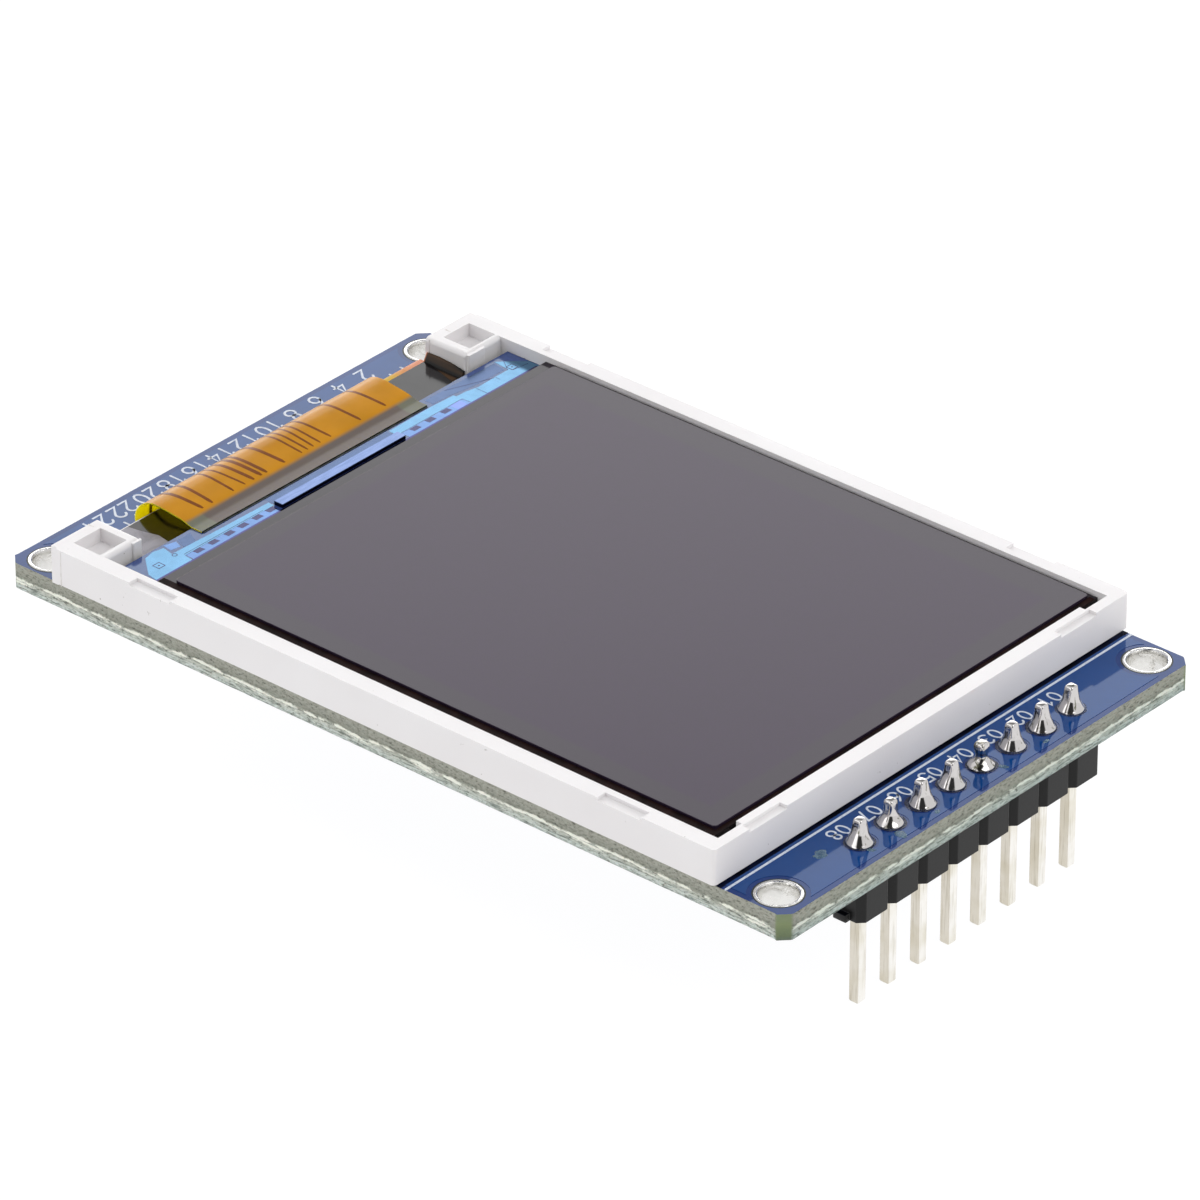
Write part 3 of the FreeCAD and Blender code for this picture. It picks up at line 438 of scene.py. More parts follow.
def polished_silicon(tree, place):
    """Thinned silicon die, polished back: a lavender mirror, its sides painted near-black: painted
    shade.
    """
    scratch_space = add_node(tree, "Mapping", {"Vector": place, "Scale": (0.2, 1.0, 1.0)})
    top = mottled(tree, scratch_space, {}, 0.2, 3.0, ((0.3, "#50638A"), (0.7, "#5E7098")))
    # The sides, which do not face up, are painted near-black: painted shade
    shade = add_node(tree, "Mix", {
        0: facing(tree, "Z"), 6: "#05062A", 7: top["Base Color"]}, **BLENDED)
    return {"Base Color": shade, "Metallic": 0.9, "Roughness": 0.12}


def polyimide_over_copper(tree, place):
    """Polyimide film over copper: amber gold and glossy, grey where it is bonded to the glass."""
    colour = tuple(settings("flex").film_colour)
    parts = add_node(tree, "SeparateXYZ", {"Vector": place})
    gold = mottled(tree, place, {}, 2.2, 3.0, (
        (0.3, shaded(colour, 0.85)), (0.7, colour)), Roughness=0.55)["Base Color"]
    bond = add_node(tree, "MapRange", {
        "Value": parts.outputs["Y"], "From Min": -21.3 * MM, "From Max": -20.95 * MM}, **SMOOTHED)
    above = add_node(tree, "MapRange", {
        "Value": parts.outputs["Z"], "From Min": 2.6 * MM, "From Max": 2.7 * MM})
    bonded = add_node(tree, "Math", {0: bond, 1: above}, operation="MULTIPLY")
    moved = add_node(tree, "Math", {0: parts.outputs["X"], 1: -0.7 * MM}, operation="ADD")
    from_middle = add_node(tree, "Math", {0: moved}, operation="ABSOLUTE")
    ends = add_node(tree, "MapRange", {
        "Value": from_middle, "From Min": 7.9 * MM, "From Max": 8.1 * MM})
    grey = add_node(tree, "Mix", {0: ends, 6: "#6E6560", 7: "#747568"}, **BLENDED)
    across = add_node(tree, "Mix", {0: bonded, 6: gold, 7: grey}, **BLENDED)
    fingers_space = add_node(tree, "Mapping", {"Vector": place, "Scale": (1.0, 0.05, 0.05)})
    return mottled(tree, fingers_space, {
        "Base Color": across, "Roughness": 0.13, "IOR": 1.5, "Specular IOR Level": 0.09,
        "Subsurface Weight": 0.15, "Subsurface Scale": 0.3 * MM,
        "Subsurface Radius": (1.0, 0.6, 0.1)}, 0.35, 1.0, bump=(0.35, 0.012))


def bare_polyimide(tree, place):
    """Polyimide film seen from its clear side: yellow and slightly see-through."""
    return mottled(tree, place, {
        "Roughness": 0.3, "IOR": 1.5, "Subsurface Weight": 1.0, "Subsurface Scale": 1.2 * MM,
        "Subsurface Radius": (1.0, 0.8, 0.15)}, 1.1, 3.0, ((0.3, "#D9A90C"), (0.7, "#F0CB1A")))


def bond_resin(tree, place):
    """Dark, smooth and slightly green: painted shadow in a bead along the front of the flex's
    bonded strip and on the flex's end faces; it also draws the dark clearance round each mounting
    hole.
    """
    return mottled(tree, place, {"Roughness": 0.3, "IOR": 1.5, "Specular IOR Level": 0.2},
                   0.6, 3.0, ((0.35, "#141715"), (0.65, "#343A36")))


def black_coverlay_flex(tree, place):
    """Polyimide under a black coverlay: dull black with brown tracks, bare orange at its tail."""
    parts = add_node(tree, "SeparateXYZ", {"Vector": place})
    tracks_space = add_node(tree, "Mapping", {
        "Vector": place, "Rotation": (0.0, 0.0, 0.35), "Scale": (1.0, 0.04, 1.0)})
    black = mottled(tree, tracks_space, {}, 0.6, 1.0, ((0.42, "#0C0A09"), (0.6, "#4A3420")))
    out = add_node(tree, "MapRange", {
        "Value": parts.outputs["Y"], "From Min": -24.1 * MM, "From Max": -24.2 * MM})
    along = add_node(tree, "MapRange", {
        "Value": parts.outputs["X"], "From Min": -13.2 * MM, "From Max": -9.9 * MM})
    orange = add_node(tree, "ValToRGB", {"Fac": along}, (
        (0.2, "#D98F6E"), (0.55, "#CE8A4A"), (0.8, "#C9A017")))
    shade = add_node(tree, "Mix", {0: out, 6: black["Base Color"], 7: orange}, **BLENDED)
    return {"Base Color": shade, "Roughness": 0.5, "IOR": 1.5, "Specular IOR Level": 0.25}


def flex_track_gap(tree, place):
    """Coverlay between copper tracks, where it sinks: a darker amber line."""
    colour = tuple(settings("flex").track_colour)
    return mottled(tree, place, {"Roughness": 0.25, "IOR": 1.5, "Specular IOR Level": 0.12},
                   0.8, 2.0, ((0.3, shaded(colour, 0.75)), (0.7, colour)))


def glossy_black_film(tree, place):
    """Black polyester tape with a calendered gloss and soft lie marks."""
    return mottled(tree, place, {"Roughness": 0.12, "IOR": 1.5, "Specular IOR Level": 0.26},
                   2.5, 2.0, ((0.3, "#0A090B"), (0.7, "#141215")), (0.4, 0.02))


def hazed_clear_film(tree, place):
    """The end of a protective film over the tape: hazy, pale grey and creased."""
    return mottled(tree, place, {"Roughness": 0.3, "IOR": 1.5, "Specular IOR Level": 0.3},
                   1.6, 4.0, ((0.35, "#66636B"), (0.62, "#8A8790")), (0.5, 0.03),
                   Roughness=0.65, Distortion=0.8)


def cast_clear_acrylic(tree, place):
    """Moulded acrylic light guide: clear, with rows of fine dots."""
    return mottled(tree, place, {
        "Base Color": "#F2F6F6", "Roughness": 0.05, "IOR": 1.49, "Transmission Weight": 0.9},
        0.3, 0.0, bump=(0.3, 0.02), texture="TexVoronoi")


def brushed_optical_film(tree, place):
    """Prism and diffuser film: pale, satin, with fine parallel ridges."""
    # Its prisms are a twentieth of a millimetre wide; they are drawn twice as coarse
    lines_space = add_node(tree, "Mapping", {"Vector": place, "Scale": (1.0, 0.02, 1.0)})
    return mottled(tree, lines_space, {"Base Color": "#E9EDEE", "Roughness": 0.3, "IOR": 1.57},
                   0.1, 1.0, bump=(0.4, 0.01))


def white_reflector_film(tree, place):
    """Foamed white polyester reflector: bright and matt."""
    # Its cells are finer than this; they are drawn 0.2 mm wide so that they show
    return mottled(tree, place, {"Base Color": "#F4F4F2", "Roughness": 0.7, "IOR": 1.5},
                   0.2, 3.0, bump=(0.3, 0.01))


def foam_tape_core(tree, place):
    """Double-sided foam tape: pale grey, cellular and matt."""
    return mottled(tree, place, {"Roughness": 0.85, "IOR": 1.45}, 0.12, 0.0, (
        (0.0, "#7C7C7A"), (0.8, "#C9C8C3")), (0.6, 0.03), texture="TexVoronoi")


def moulded_epoxy(tree, place):
    """Black transfer-moulded epoxy: matt, with a coarse spark-eroded grain."""
    # The grain is finer than this; it is drawn 0.12 mm wide so that it shows
    return mottled(tree, place, {"Roughness": 0.55, "IOR": 1.55}, 0.12, 4.0, (
        (0.35, "#141416"), (0.7, "#2B2B2D")), (0.6, 0.015), Roughness=0.7)


def fired_ceramic(tree, place, name, low, high):
    """Fired ceramic body of a chip part: smooth, with a faint mottle."""
    return mottled(tree, place, {"Roughness": 0.4, "IOR": 1.6}, 0.25, 3.0, (
        (0.3, low), (0.7, high)))


def lamp_housing_plastic(tree, place):
    """White lamp body with a yellow phosphor window."""
    front = add_node(tree, "Math", {0: facing(tree, "Y"), 1: 0.5}, operation="GREATER_THAN")
    window = add_node(tree, "Mix", {0: front, 6: "#F1EFEA", 7: "#E2C93C"}, **BLENDED)
    return {"Base Color": window, "Roughness": 0.45, "IOR": 1.54}


def dried_flux(tree, place):
    """Dried rosin flux: thin glassy blobs, clear amber to milky."""
    return mottled(tree, place, {"Roughness": 0.2, "IOR": 1.5, "Alpha": 0.5}, 0.25, 4.0, (
        (0.35, "#2E5468"), (0.6, "#7E9DA8"), (0.75, "#B9CBD0")), (0.8, 0.03), Roughness=0.7)


def clear_rosin(tree, place):
    """A half-clear dark ring round each joint's foot: it darkens the mask there and shines."""
    return mottled(tree, place, {
        "Roughness": 0.15, "IOR": 1.5, "Specular IOR Level": 0.3, "Alpha": 0.55},
        0.5, 3.0, ((0.35, "#1A2038"), (0.7, "#48506E")))


def backlit_opal_acrylic(tree, place):
    """Opal acrylic light table: evenly white, matt, and lit from below so shadows stay faint."""
    colour = tuple(settings("studio").floor_colour)
    return mottled(tree, place, {
        "Roughness": 0.9, "IOR": 1.4, "Specular IOR Level": 0.1, "Emission Color": "#FFFFFF",
        "Emission Strength": 0.96}, 40.0, 2.0, ((0.2, shaded(colour, 0.97)), (0.8, colour)))


# Mesh tools, in millimetres

def link_piece(name, bm, materials, nodes=(), smooth=None):
    """Turns a mesh drawn in millimetres into a piece that rides on the part."""
    bmesh.ops.scale(bm, vec=(MM, MM, MM), verts=bm.verts)
    bmesh.ops.recalc_face_normals(bm, faces=bm.faces)
    if smooth is not None:
        for face in bm.faces:
            face.smooth = True
        for edge in bm.edges:
            edge.smooth = len(edge.link_faces) == 2 and (
                edge.calc_face_angle(0.0) < math.radians(smooth))
    mesh = bpy.data.meshes.new(name)
    bm.to_mesh(mesh)
    bm.free()
    for material in materials:
        mesh.materials.append(material)
    return place_piece(bpy.data.objects.new(name, mesh), nodes)


def place_piece(piece, nodes=()):
    """Links a piece and the nodes that it stands for, and lets it ride."""
    bpy.context.scene.collection.objects.link(piece)
    if nodes:
        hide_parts(*nodes)
    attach(piece, "root")
    return piece


def dress_node(node, material):
    """Gives a CAD node its finish and keeps its mesh."""
    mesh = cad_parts[node].data
    mesh.materials.clear()
    mesh.materials.append(material)


def rounded_copy(node, name, material, width, segments=2, reshape=None):
    """A copy of a CAD node with its coplanar faces joined and its edges rounded, in its place."""
    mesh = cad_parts[node].data.copy()
    mesh.name = name
    mesh.materials.clear()
    mesh.materials.append(material)
    bm = bmesh.new()
    bm.from_mesh(mesh)
    bmesh.ops.remove_doubles(bm, verts=bm.verts, dist=0.0005 * MM)
    bmesh.ops.dissolve_limit(bm, angle_limit=math.radians(1.0), verts=bm.verts, edges=bm.edges)
    if reshape:
        reshape(bm)
    for face in bm.faces:
        face.material_index = 0
        face.smooth = True
    bmesh.ops.recalc_face_normals(bm, faces=bm.faces)
    bm.to_mesh(mesh)
    bm.free()
    piece = place_piece(bpy.data.objects.new(name, mesh), (node,))
    bevel = piece.modifiers.new("edge_round", "BEVEL")
    bevel.width = width * MM
    bevel.segments = segments
    bevel.limit_method = "ANGLE"
    bevel.angle_limit = math.radians(28.0)
    if segments > 1:
        # Wide flat faces keep their own direction, and only the rounded edges shade softly
        flat = piece.modifiers.new("flat_faces", "WEIGHTED_NORMAL")
        flat.mode = "FACE_AREA"
        flat.weight = 100
    apply_modifiers(piece)
    for face in piece.data.polygons:
        face.use_smooth = segments > 1
    return piece


def apply_modifiers(piece):
    """Replaces a piece's mesh by what its modifiers make of it."""
    bpy.context.view_layer.update()
    graph = bpy.context.evaluated_depsgraph_get()
    made = bpy.data.meshes.new_from_object(piece.evaluated_get(graph), depsgraph=graph)
    made.name = piece.name
    piece.modifiers.clear()
    piece.data = made


def lump(x, y, z):
    """Smooth noise at a point, the same on each run."""
    return noise.noise(Vector((x, y, z)))


def round_pairs(items):
    """Each item of a ring with the one after it."""
    return zip(items, items[1:] + items[:1])


def directions(count):
    """The cosine and sine of even steps round a circle."""
    turns = [2 * math.pi * step / count for step in range(count)]
    return [(math.cos(turn), math.sin(turn)) for turn in turns]


def ring_points(centre, radius, count, start=0.0):
    """Points of a circle in plan."""
    turn = 2 * math.pi / count
    return [
        (centre[0] + radius * math.cos(start + turn * step),
         centre[1] + radius * math.sin(start + turn * step))
        for step in range(count)
    ]


def loft(bm, rings, caps=True, material=0, smooth=False):
    """Joins rings of vertices one after the other, and may close both ends with a face."""
    for near, far in zip(rings, rings[1:]):
        for (a, b), (d, c) in zip(round_pairs(near), round_pairs(far)):
            face = bm.faces.new((a, b, c, d))
            face.material_index = material
            face.smooth = smooth
    if caps:
        bm.faces.new(rings[-1])
        bm.faces.new(rings[0][::-1])


def fill_level(bm, loops, level, rim=()):
    """Fills between rings of points at one level, and a rim of vertices where there is one."""
    rings = [[bm.verts.new((x, y, level)) for x, y in loop] for loop in loops]
    edges = [bm.edges.get(pair) for pair in round_pairs(rim)]
    edges += [bm.edges.new(pair) for ring in rings for pair in round_pairs(ring)]
    bmesh.ops.triangle_fill(bm, use_beauty=True, use_dissolve=False, edges=edges)
    return rings


def add_plate(bm, outline, low, high, holes=()):
    """A flat plate with an outline and holes, between two levels."""
    caps = [fill_level(bm, (outline, *holes), level) for level in (low, high)]
    for pair in zip(*caps):
        loft(bm, pair, caps=False)


def add_ribbon(bm, points, width, low, high, closed=False):
    """A printed line of even width with round ends, raised between two levels."""
    line = [Vector(point) for point in points]
    count = len(line)
    left, right = [], []
    for step, point in enumerate(line):
        before = line[step - 1] if closed or step > 0 else None
        after = line[(step + 1) % count] if closed or step < count - 1 else None
        ways = [(point - before).normalized()] if before else []
        ways += [(after - point).normalized()] if after else []
        way = sum(ways, Vector((0.0, 0.0))).normalized()
        across = Vector((-way.y, way.x))
        reach = width / 2 / max(0.6, abs(way.dot(ways[0])))
        left.append(point + across * reach)
        right.append(point - across * reach)
    low_left, low_right, top_left, top_right = [
        [bm.verts.new((p.x, p.y, level)) for p in side]
        for level in (low, high) for side in (left, right)]
    for a in range(count if closed else count - 1):
        b = (a + 1) % count
        bm.faces.new((top_left[a], top_right[a], top_right[b], top_left[b]))
        bm.faces.new((low_left[a], low_left[b], low_right[b], low_right[a]))
        bm.faces.new((low_left[a], top_left[a], top_left[b], low_left[b]))
        bm.faces.new((low_right[a], low_right[b], top_right[b], top_right[a]))
    if closed:
        return
    for end, way in ((0, line[0] - line[1]), (count - 1, line[-1] - line[-2])):
        way = way.normalized()
        across = Vector((-way.y, way.x))
        arc = [
            line[end] + (across * math.cos(turn) + way * math.sin(turn)) * width / 2
            for turn in (math.pi * step / 6 for step in range(1, 6))
        ]
        rims = []
        for level, sides in ((high, (top_right, top_left)), (low, (low_right, low_left))):
            first, last = sides if end == 0 else sides[::-1]
            rims.append([first[end], *(bm.verts.new((p.x, p.y, level)) for p in arc), last[end]])
        top, foot = rims
        bm.faces.new(top)
        bm.faces.new(foot[::-1])
        for step in range(len(top) - 1):
            bm.faces.new((foot[step], foot[step + 1], top[step + 1], top[step]))


def bend(centre, radii, start, end, count=9):
    """Points along part of an ellipse, between two angles in degrees."""
    turns = [math.radians(start + (end - start) * step / (count - 1)) for step in range(count)]
    return [(centre[0] + radii[0] * math.cos(t), centre[1] + radii[1] * math.sin(t)) for t in turns]


# Strokes of the plain numerals, in a box 0.6 wide and 1 high; True closes a stroke
NUMERALS = {
    "0": [(bend((0.3, 0.5), (0.28, 0.5), 0, 337.5, 16), True)],
    "1": [([(0.12, 0.78), (0.34, 1.0), (0.34, 0.0)], False)],
    "2": [(bend((0.3, 0.72), (0.27, 0.28), 165, -35) + [(0.03, 0.0), (0.58, 0.0)], False)],
    "3": [(bend((0.28, 0.75), (0.25, 0.25), 150, -90)
           + bend((0.28, 0.25), (0.29, 0.25), 80, -155), False)],
    "4": [([(0.43, 0.0), (0.43, 1.0), (0.0, 0.3), (0.6, 0.3)], False)],
    "5": [([(0.54, 1.0), (0.1, 1.0), (0.06, 0.56)]
           + bend((0.28, 0.32), (0.29, 0.32), 110, -150), False)],
    "6": [
        (bend((0.3, 0.3), (0.27, 0.3), 0, 340, 14), True),
        ([(0.47, 1.0), (0.22, 0.75), (0.05, 0.42)], False),
    ],
    "7": [([(0.02, 1.0), (0.57, 1.0), (0.2, 0.0)], False)],
    "8": [
        (bend((0.3, 0.76), (0.22, 0.23), 0, 337, 13), True),
        (bend((0.3, 0.27), (0.28, 0.27), 0, 337, 14), True),
    ],
    "9": [
        (bend((0.3, 0.7), (0.27, 0.3), 0, 340, 14), True),
        ([(0.13, 0.0), (0.38, 0.25), (0.55, 0.58)], False),
    ],
}


def add_number(bm, text, centre, height, width, levels):
    """A plain number drawn with round strokes, centred in plan."""
    advance = 0.82 * height
    start = -(advance * (len(text) - 1) + 0.6 * height) / 2
    for place, figure in enumerate(text):
        for stroke, closed in NUMERALS[figure]:
            points = [
                (centre[0] + (start + advance * place + x * height), centre[1] + (y - 0.5) * height)
                for x, y in stroke]
            add_ribbon(bm, points, width, *levels, closed=closed)


def smooth_path(points, steps):
    """Points along a Catmull-Rom curve through the given ones."""
    line = [Vector(point) for point in points]
    line = [2 * line[0] - line[1], *line, 2 * line[-1] - line[-2]]
    made = []
    for index in range(1, len(line) - 2):
        a, b, c, d = line[index - 1:index + 3]
        for step in range(steps):
            t = step / steps
            made.append(0.5 * (
                2 * b + (c - a) * t + (2 * a - 5 * b + 4 * c - d) * t ** 2
                + (3 * b - a - 3 * c + d) * t ** 3))
    made.append(line[-2])
    return made


# Board

BOARD_CHAMFER = 0.65
# Spacing of the routed edge's columns, and the shares of its depth that have points
EDGE_STEP = 0.18
EDGE_LEVELS = (0.0, 0.03, 0.1, 0.2, 0.3, 0.38, 0.45, 0.5, 0.54, 0.58, 0.62, 0.66, 0.71, 0.78, 0.88,
               0.97, 1.0)
HOLE_PLACES = [(x, y) for x in (-15.5, 15.5) for y in (-26.1, 26.1)]
PIN_PLACES = [((step - 3.5) * 2.54, 26.1) for step in range(8)]


def octagon(half_width, half_length, cut):
    """A rectangle with cut corners, counter-clockwise."""
    return [
        (half_width - cut, -half_length), (half_width, -half_length + cut),
        (half_width, half_length - cut), (half_width - cut, half_length),
        (-half_width + cut, half_length), (-half_width, half_length - cut),
        (-half_width, -half_length + cut), (-half_width + cut, -half_length),
    ]


def torn_edge(bm, low, high, tear):
    """The routed side of the board: columns of points whose depth follows torn glass fibres."""
    columns = []
    travelled = 0.0
    for corner, following in round_pairs(octagon(high.x, high.y, BOARD_CHAMFER)):
        start, end = Vector(corner), Vector(following)
        length = (end - start).length
        pieces = max(3, round(length / EDGE_STEP))
        way = (end - start).normalized()
        outward = Vector((way.y, -way.x))
        for part in range(pieces):
            columns.append((
                start + way * length * part / pieces, outward, travelled + length * part / pieces,
                length < 2 * BOARD_CHAMFER))
        travelled += length
    streak_layer = bm.verts.layers.float.new("streak")
    sawn_layer = bm.verts.layers.float.new("sawn")
    grid = []
    for point, outward, along, sawn in columns:
        # Where the torn strands run at this column, as shares of the board's depth
        centre = 0.57 + 0.09 * lump(along / 2.7, 3.1, 0.0)
        centre += 0.035 * lump(along / 0.45, 7.7, 0.0)
        strength = 0.8 + 0.9 * lump(along / 0.8, 1.3, 5.0)
        second = centre + 0.12 + 0.07 * lump(along / 1.9, 11.0, 2.0)
        patch = 0.4 + 1.2 * lump(along / 2.3, 4.0, 8.0)
        column = []
        for fraction in EDGE_LEVELS:
            bite = 0.5 + 0.5 * lump(along / 1.3, fraction * 3.0, 0.0)
            bite += 0.5 * lump(along / 0.25, fraction * 7.0, 9.0)
            ridge = math.exp(-((fraction - centre) / 0.075) ** 2)
            strand = math.exp(-((fraction - second) / 0.05) ** 2) * patch
            groove = math.exp(-((fraction - centre - 0.09) / 0.05) ** 2)
            depth = tear * (0.75 + 0.55 * bite + 0.9 * groove - 1.0 * ridge)
            depth += 0.02 * (fraction < 0.01) + 0.03 * (fraction > 0.99)
            depth = 0.01 if sawn else min(max(depth, 0.0), 0.14)
            place = point - outward * depth
            vert = bm.verts.new((place.x, place.y, high.z + (low.z - high.z) * fraction))
            vert[streak_layer] = 0.0 if sawn else min(max(ridge * strength, strand, 0.0), 1.0)
            vert[sawn_layer] = 1.0 if sawn else 0.0
            column.append(vert)
        grid.append(column)
    for column, following in round_pairs(grid):
        for (a, b), (d, c) in zip(zip(column, column[1:]), zip(following, following[1:])):
            face = bm.faces.new((a, b, c, d))
            face.material_index = 1
            face.smooth = True
    return [column[0] for column in grid], [column[-1] for column in grid]


class AddBoard(bpy.types.Operator):
    """Builds the routed board with its mask, edges and bores."""
    bl_idname = "tft_module.add_board"
    bl_label = "Circuit board"

    def execute(self, context):
        board = settings("board")
        low, high = box_mm("pcb")
        bm = bmesh.new()
        rims = torn_edge(bm, low, high, board.edge_tear)
        # The mounting holes, and then the smaller pin holes
        bores = [ring_points(place, 1.145, 40) for place in HOLE_PLACES]
        bores += [ring_points(place, 0.5, 24) for place in PIN_PLACES]
        walls = [fill_level(bm, bores, level, rim) for rim, level in zip(rims, (high.z, low.z))]
        for pair in zip(*walls):
            loft(bm, pair, caps=False, material=2, smooth=True)
        link_piece("circuit_board", bm, [
            finish_of(solder_mask_over_laminate), finish_of(routed_glass_laminate),
            finish_of(tinned_copper)], ["pcb"])
        self.add_copper(board, low, high)
        return {"FINISHED"}

    def add_copper(self, board, low, high):
        """The raised mask over the copper areas and tracks of both faces."""
        # The outline passes inside the four corner holes
        keep_out = 1.7
        side = math.degrees(math.acos((high.x - 0.42 - 15.5) / keep_out))
        end = math.degrees(math.asin((high.y - 0.42 - 26.1) / keep_out))
        outline = []
        for x_sign, y_sign, turns in (
            (1, 1, (-side, end - 360 + 2 * (90 - end))), (-1, 1, (end, side - 180)),
            (-1, -1, (180 - side, -end)), (1, -1, (180 + end, side)),
        ):
            outline += bend((15.5 * x_sign, 26.1 * y_sign), (keep_out, keep_out), *turns, 28)
        clear = [ring_points(place, 1.02, 32) for place in PIN_PLACES[1:]]
        bm = bmesh.new()
        add_plate(bm, outline, high.z - 0.01, high.z + board.copper_step, clear)
        mask = finish_of(solder_mask_over_copper)
        link_piece("top_copper_relief", bm, [mask])
        bm = bmesh.new()
        levels = (low.z - board.copper_step, low.z + 0.01)
        for step, (x, y) in enumerate(PIN_PLACES):
            fan = (step - 3.5) * 1.15
            middle = 19.6 - 0.55 * abs(step - 3.5) + 1.2
            add_ribbon(bm, [
                (x, y), (x, 23.4), (x, middle), (fan, middle - abs(x - fan)),
                (fan, -6.0 - step * 0.7)], 0.5 if step < 2 else 0.25, *levels)
        for sign in (-1, 1):
            add_ribbon(bm, [(sign * 15.9, 22.5), (sign * 15.9, -22.5)], 0.9, *levels)
            add_ribbon(
                bm, [(sign * 11.9, 10.8), (sign * 13.4, 9.3), (sign * 13.4, -8.0)], 0.6, *levels)
        link_piece("bottom_copper_relief", bm, [mask])


class AddLegend(bpy.types.Operator):
    """Prints the plain lines, numbers and scale of the board's legend."""
    bl_idname = "tft_module.add_legend"
    bl_label = "Printed legend"

    def execute(self, context):
        board = settings("board")
        low, high = box_mm("pcb")
        line = board.legend_line
        top = (high.z - 0.005, high.z + board.copper_step + 0.014)
        bm = bmesh.new()
        add_ribbon(bm, [(-high.x + 0.12, 23.8), (high.x - 0.12, 23.8)], line, *top)
        for step, (x, y) in enumerate(PIN_PLACES):
            add_number(bm, f"{step + 1:02d}", (x, 24.68), 0.92, line * 0.8, top)
        for step in range(27):
            x = -13.0 + step
            add_ribbon(bm, [(x, -25.35), (x, -25.85 if step % 2 else -25.95)], line * 0.8, *top)
            if step % 2 == 0 and abs(x) < 12.5:
                add_number(bm, str(step), (x, -26.85), 1.15, line * 0.95, top)
        link_piece("top_legend", bm, [finish_of(legend_ink)])
        under = (low.z - board.copper_step - 0.014, low.z + 0.005)
        bm = bmesh.new()
        add_ribbon(bm, [(-11.2, 24.0), (11.2, 24.0)], line, *under)
        for name in ("voltage_regulator", "backlight_transistor"):
            case_low, case_high = box_mm(f"{name}_case")
            left, right = case_low.x - 0.35, case_high.x + 0.35
            near, far = case_low.y - 0.9, case_high.y + 0.9
            add_ribbon(bm, [(left, near), (right, near), (right, far), (left, far)], line, *under,
                       closed=True)
        for node in (
            "chip_resistor_1", "chip_resistor_2", "chip_resistor_3", "chip_capacitor_1",
            "chip_capacitor_2",
        ):
            part_low, part_high = box_mm(node)
            for edge in (part_low.y - 0.3, part_high.y + 0.3):
                add_ribbon(
                    bm, [(part_low.x - 0.3, edge), (part_high.x + 0.3, edge)], line * 0.8, *under)
        link_piece("bottom_legend", bm, [finish_of(legend_ink)])
        return {"FINISHED"}


class AddPlating(bpy.types.Operator):
    """Gives the mounting holes rounded tinned rings and barrels."""
    bl_idname = "tft_module.add_plating"
    bl_label = "Hole plating"

    def execute(self, context):
        low, high = box_mm("mounting_hole_plating")
        board_low, board_high = box_mm("pcb")
        # The barrel comes first, and only its points are uneven
        barrel = [
            (1.10, low.z + 0.25), (1.10, high.z - 0.3), (1.12, high.z - 0.12),
            (1.18, high.z - 0.01)]
        profile = [
            *barrel, (1.25, high.z + 0.003), (1.31, high.z - 0.006), (1.34, board_high.z + 0.004),
            (1.34, board_high.z - 0.01), (1.14, board_high.z - 0.02), (1.14, board_low.z + 0.02),
            (1.34, board_low.z + 0.01), (1.34, board_low.z - 0.004), (1.32, low.z + 0.004),
            (1.17, low.z), (1.12, low.z + 0.06),
        ]
        bm = bmesh.new()
        for index, (x, y) in enumerate(HOLE_PLACES):
            rings = []
            for across, along in directions(64):
                ring = []
                for place, (radius, level) in enumerate(profile):
                    if place < len(barrel):
                        radius += 0.012 * lump(across * 2, along * 2, index * 9.0 + level * 2)
                    ring.append(bm.verts.new((x + radius * across, y + radius * along, level)))
                rings.append(ring)
            loft(bm, rings + rings[:1], caps=False)
        link_piece("tinned_hole_rings", bm, [finish_of(tinned_copper)],
                   ["mounting_hole_plating"], smooth=50)
        bm = bmesh.new()
        for place in HOLE_PLACES:
            add_plate(bm, ring_points(place, 1.43, 56), board_high.z - 0.005, board_high.z + 0.004,
                      [ring_points(place, 1.335, 56)])
        link_piece("mask_clearance_rings", bm, [finish_of(bond_resin)])
        return {"FINISHED"}


class AddHeader(bpy.types.Operator):
    """Rounds the header's housing and pins."""
    bl_idname = "tft_module.add_header"
    bl_label = "Pin header"

    def execute(self, context):
        rounded_copy("header_housing", "header_strip", finish_of(moulded_header_nylon),
                     0.05)
        for step in range(8):
            rounded_copy(f"header_pin_{step + 1}", f"square_pin_{step + 1}",
                         finish_of(drawn_pin_plating), 0.05, reshape=self.thin_tip)
        return {"FINISHED"}

    def thin_tip(self, bm):
        """Draws the pin in over the board, where the solder climbs it."""
        foot, top, share = 1.7, 2.3, 0.36
        middle = sum((vert.co for vert in bm.verts), Vector()) / len(bm.verts)
        for level in (foot, top):
            bmesh.ops.bisect_plane(
                bm, geom=bm.verts[:] + bm.edges[:] + bm.faces[:],
                plane_co=(0, 0, level * MM), plane_no=(0, 0, 1))
        for vert in bm.verts:
            rise = min(max((vert.co.z / MM - foot) / (top - foot), 0.0), 1.0)
            vert.co.x = middle.x + (vert.co.x - middle.x) * (1 - share * rise)
            vert.co.y = middle.y + (vert.co.y - middle.y) * (1 - share * rise)


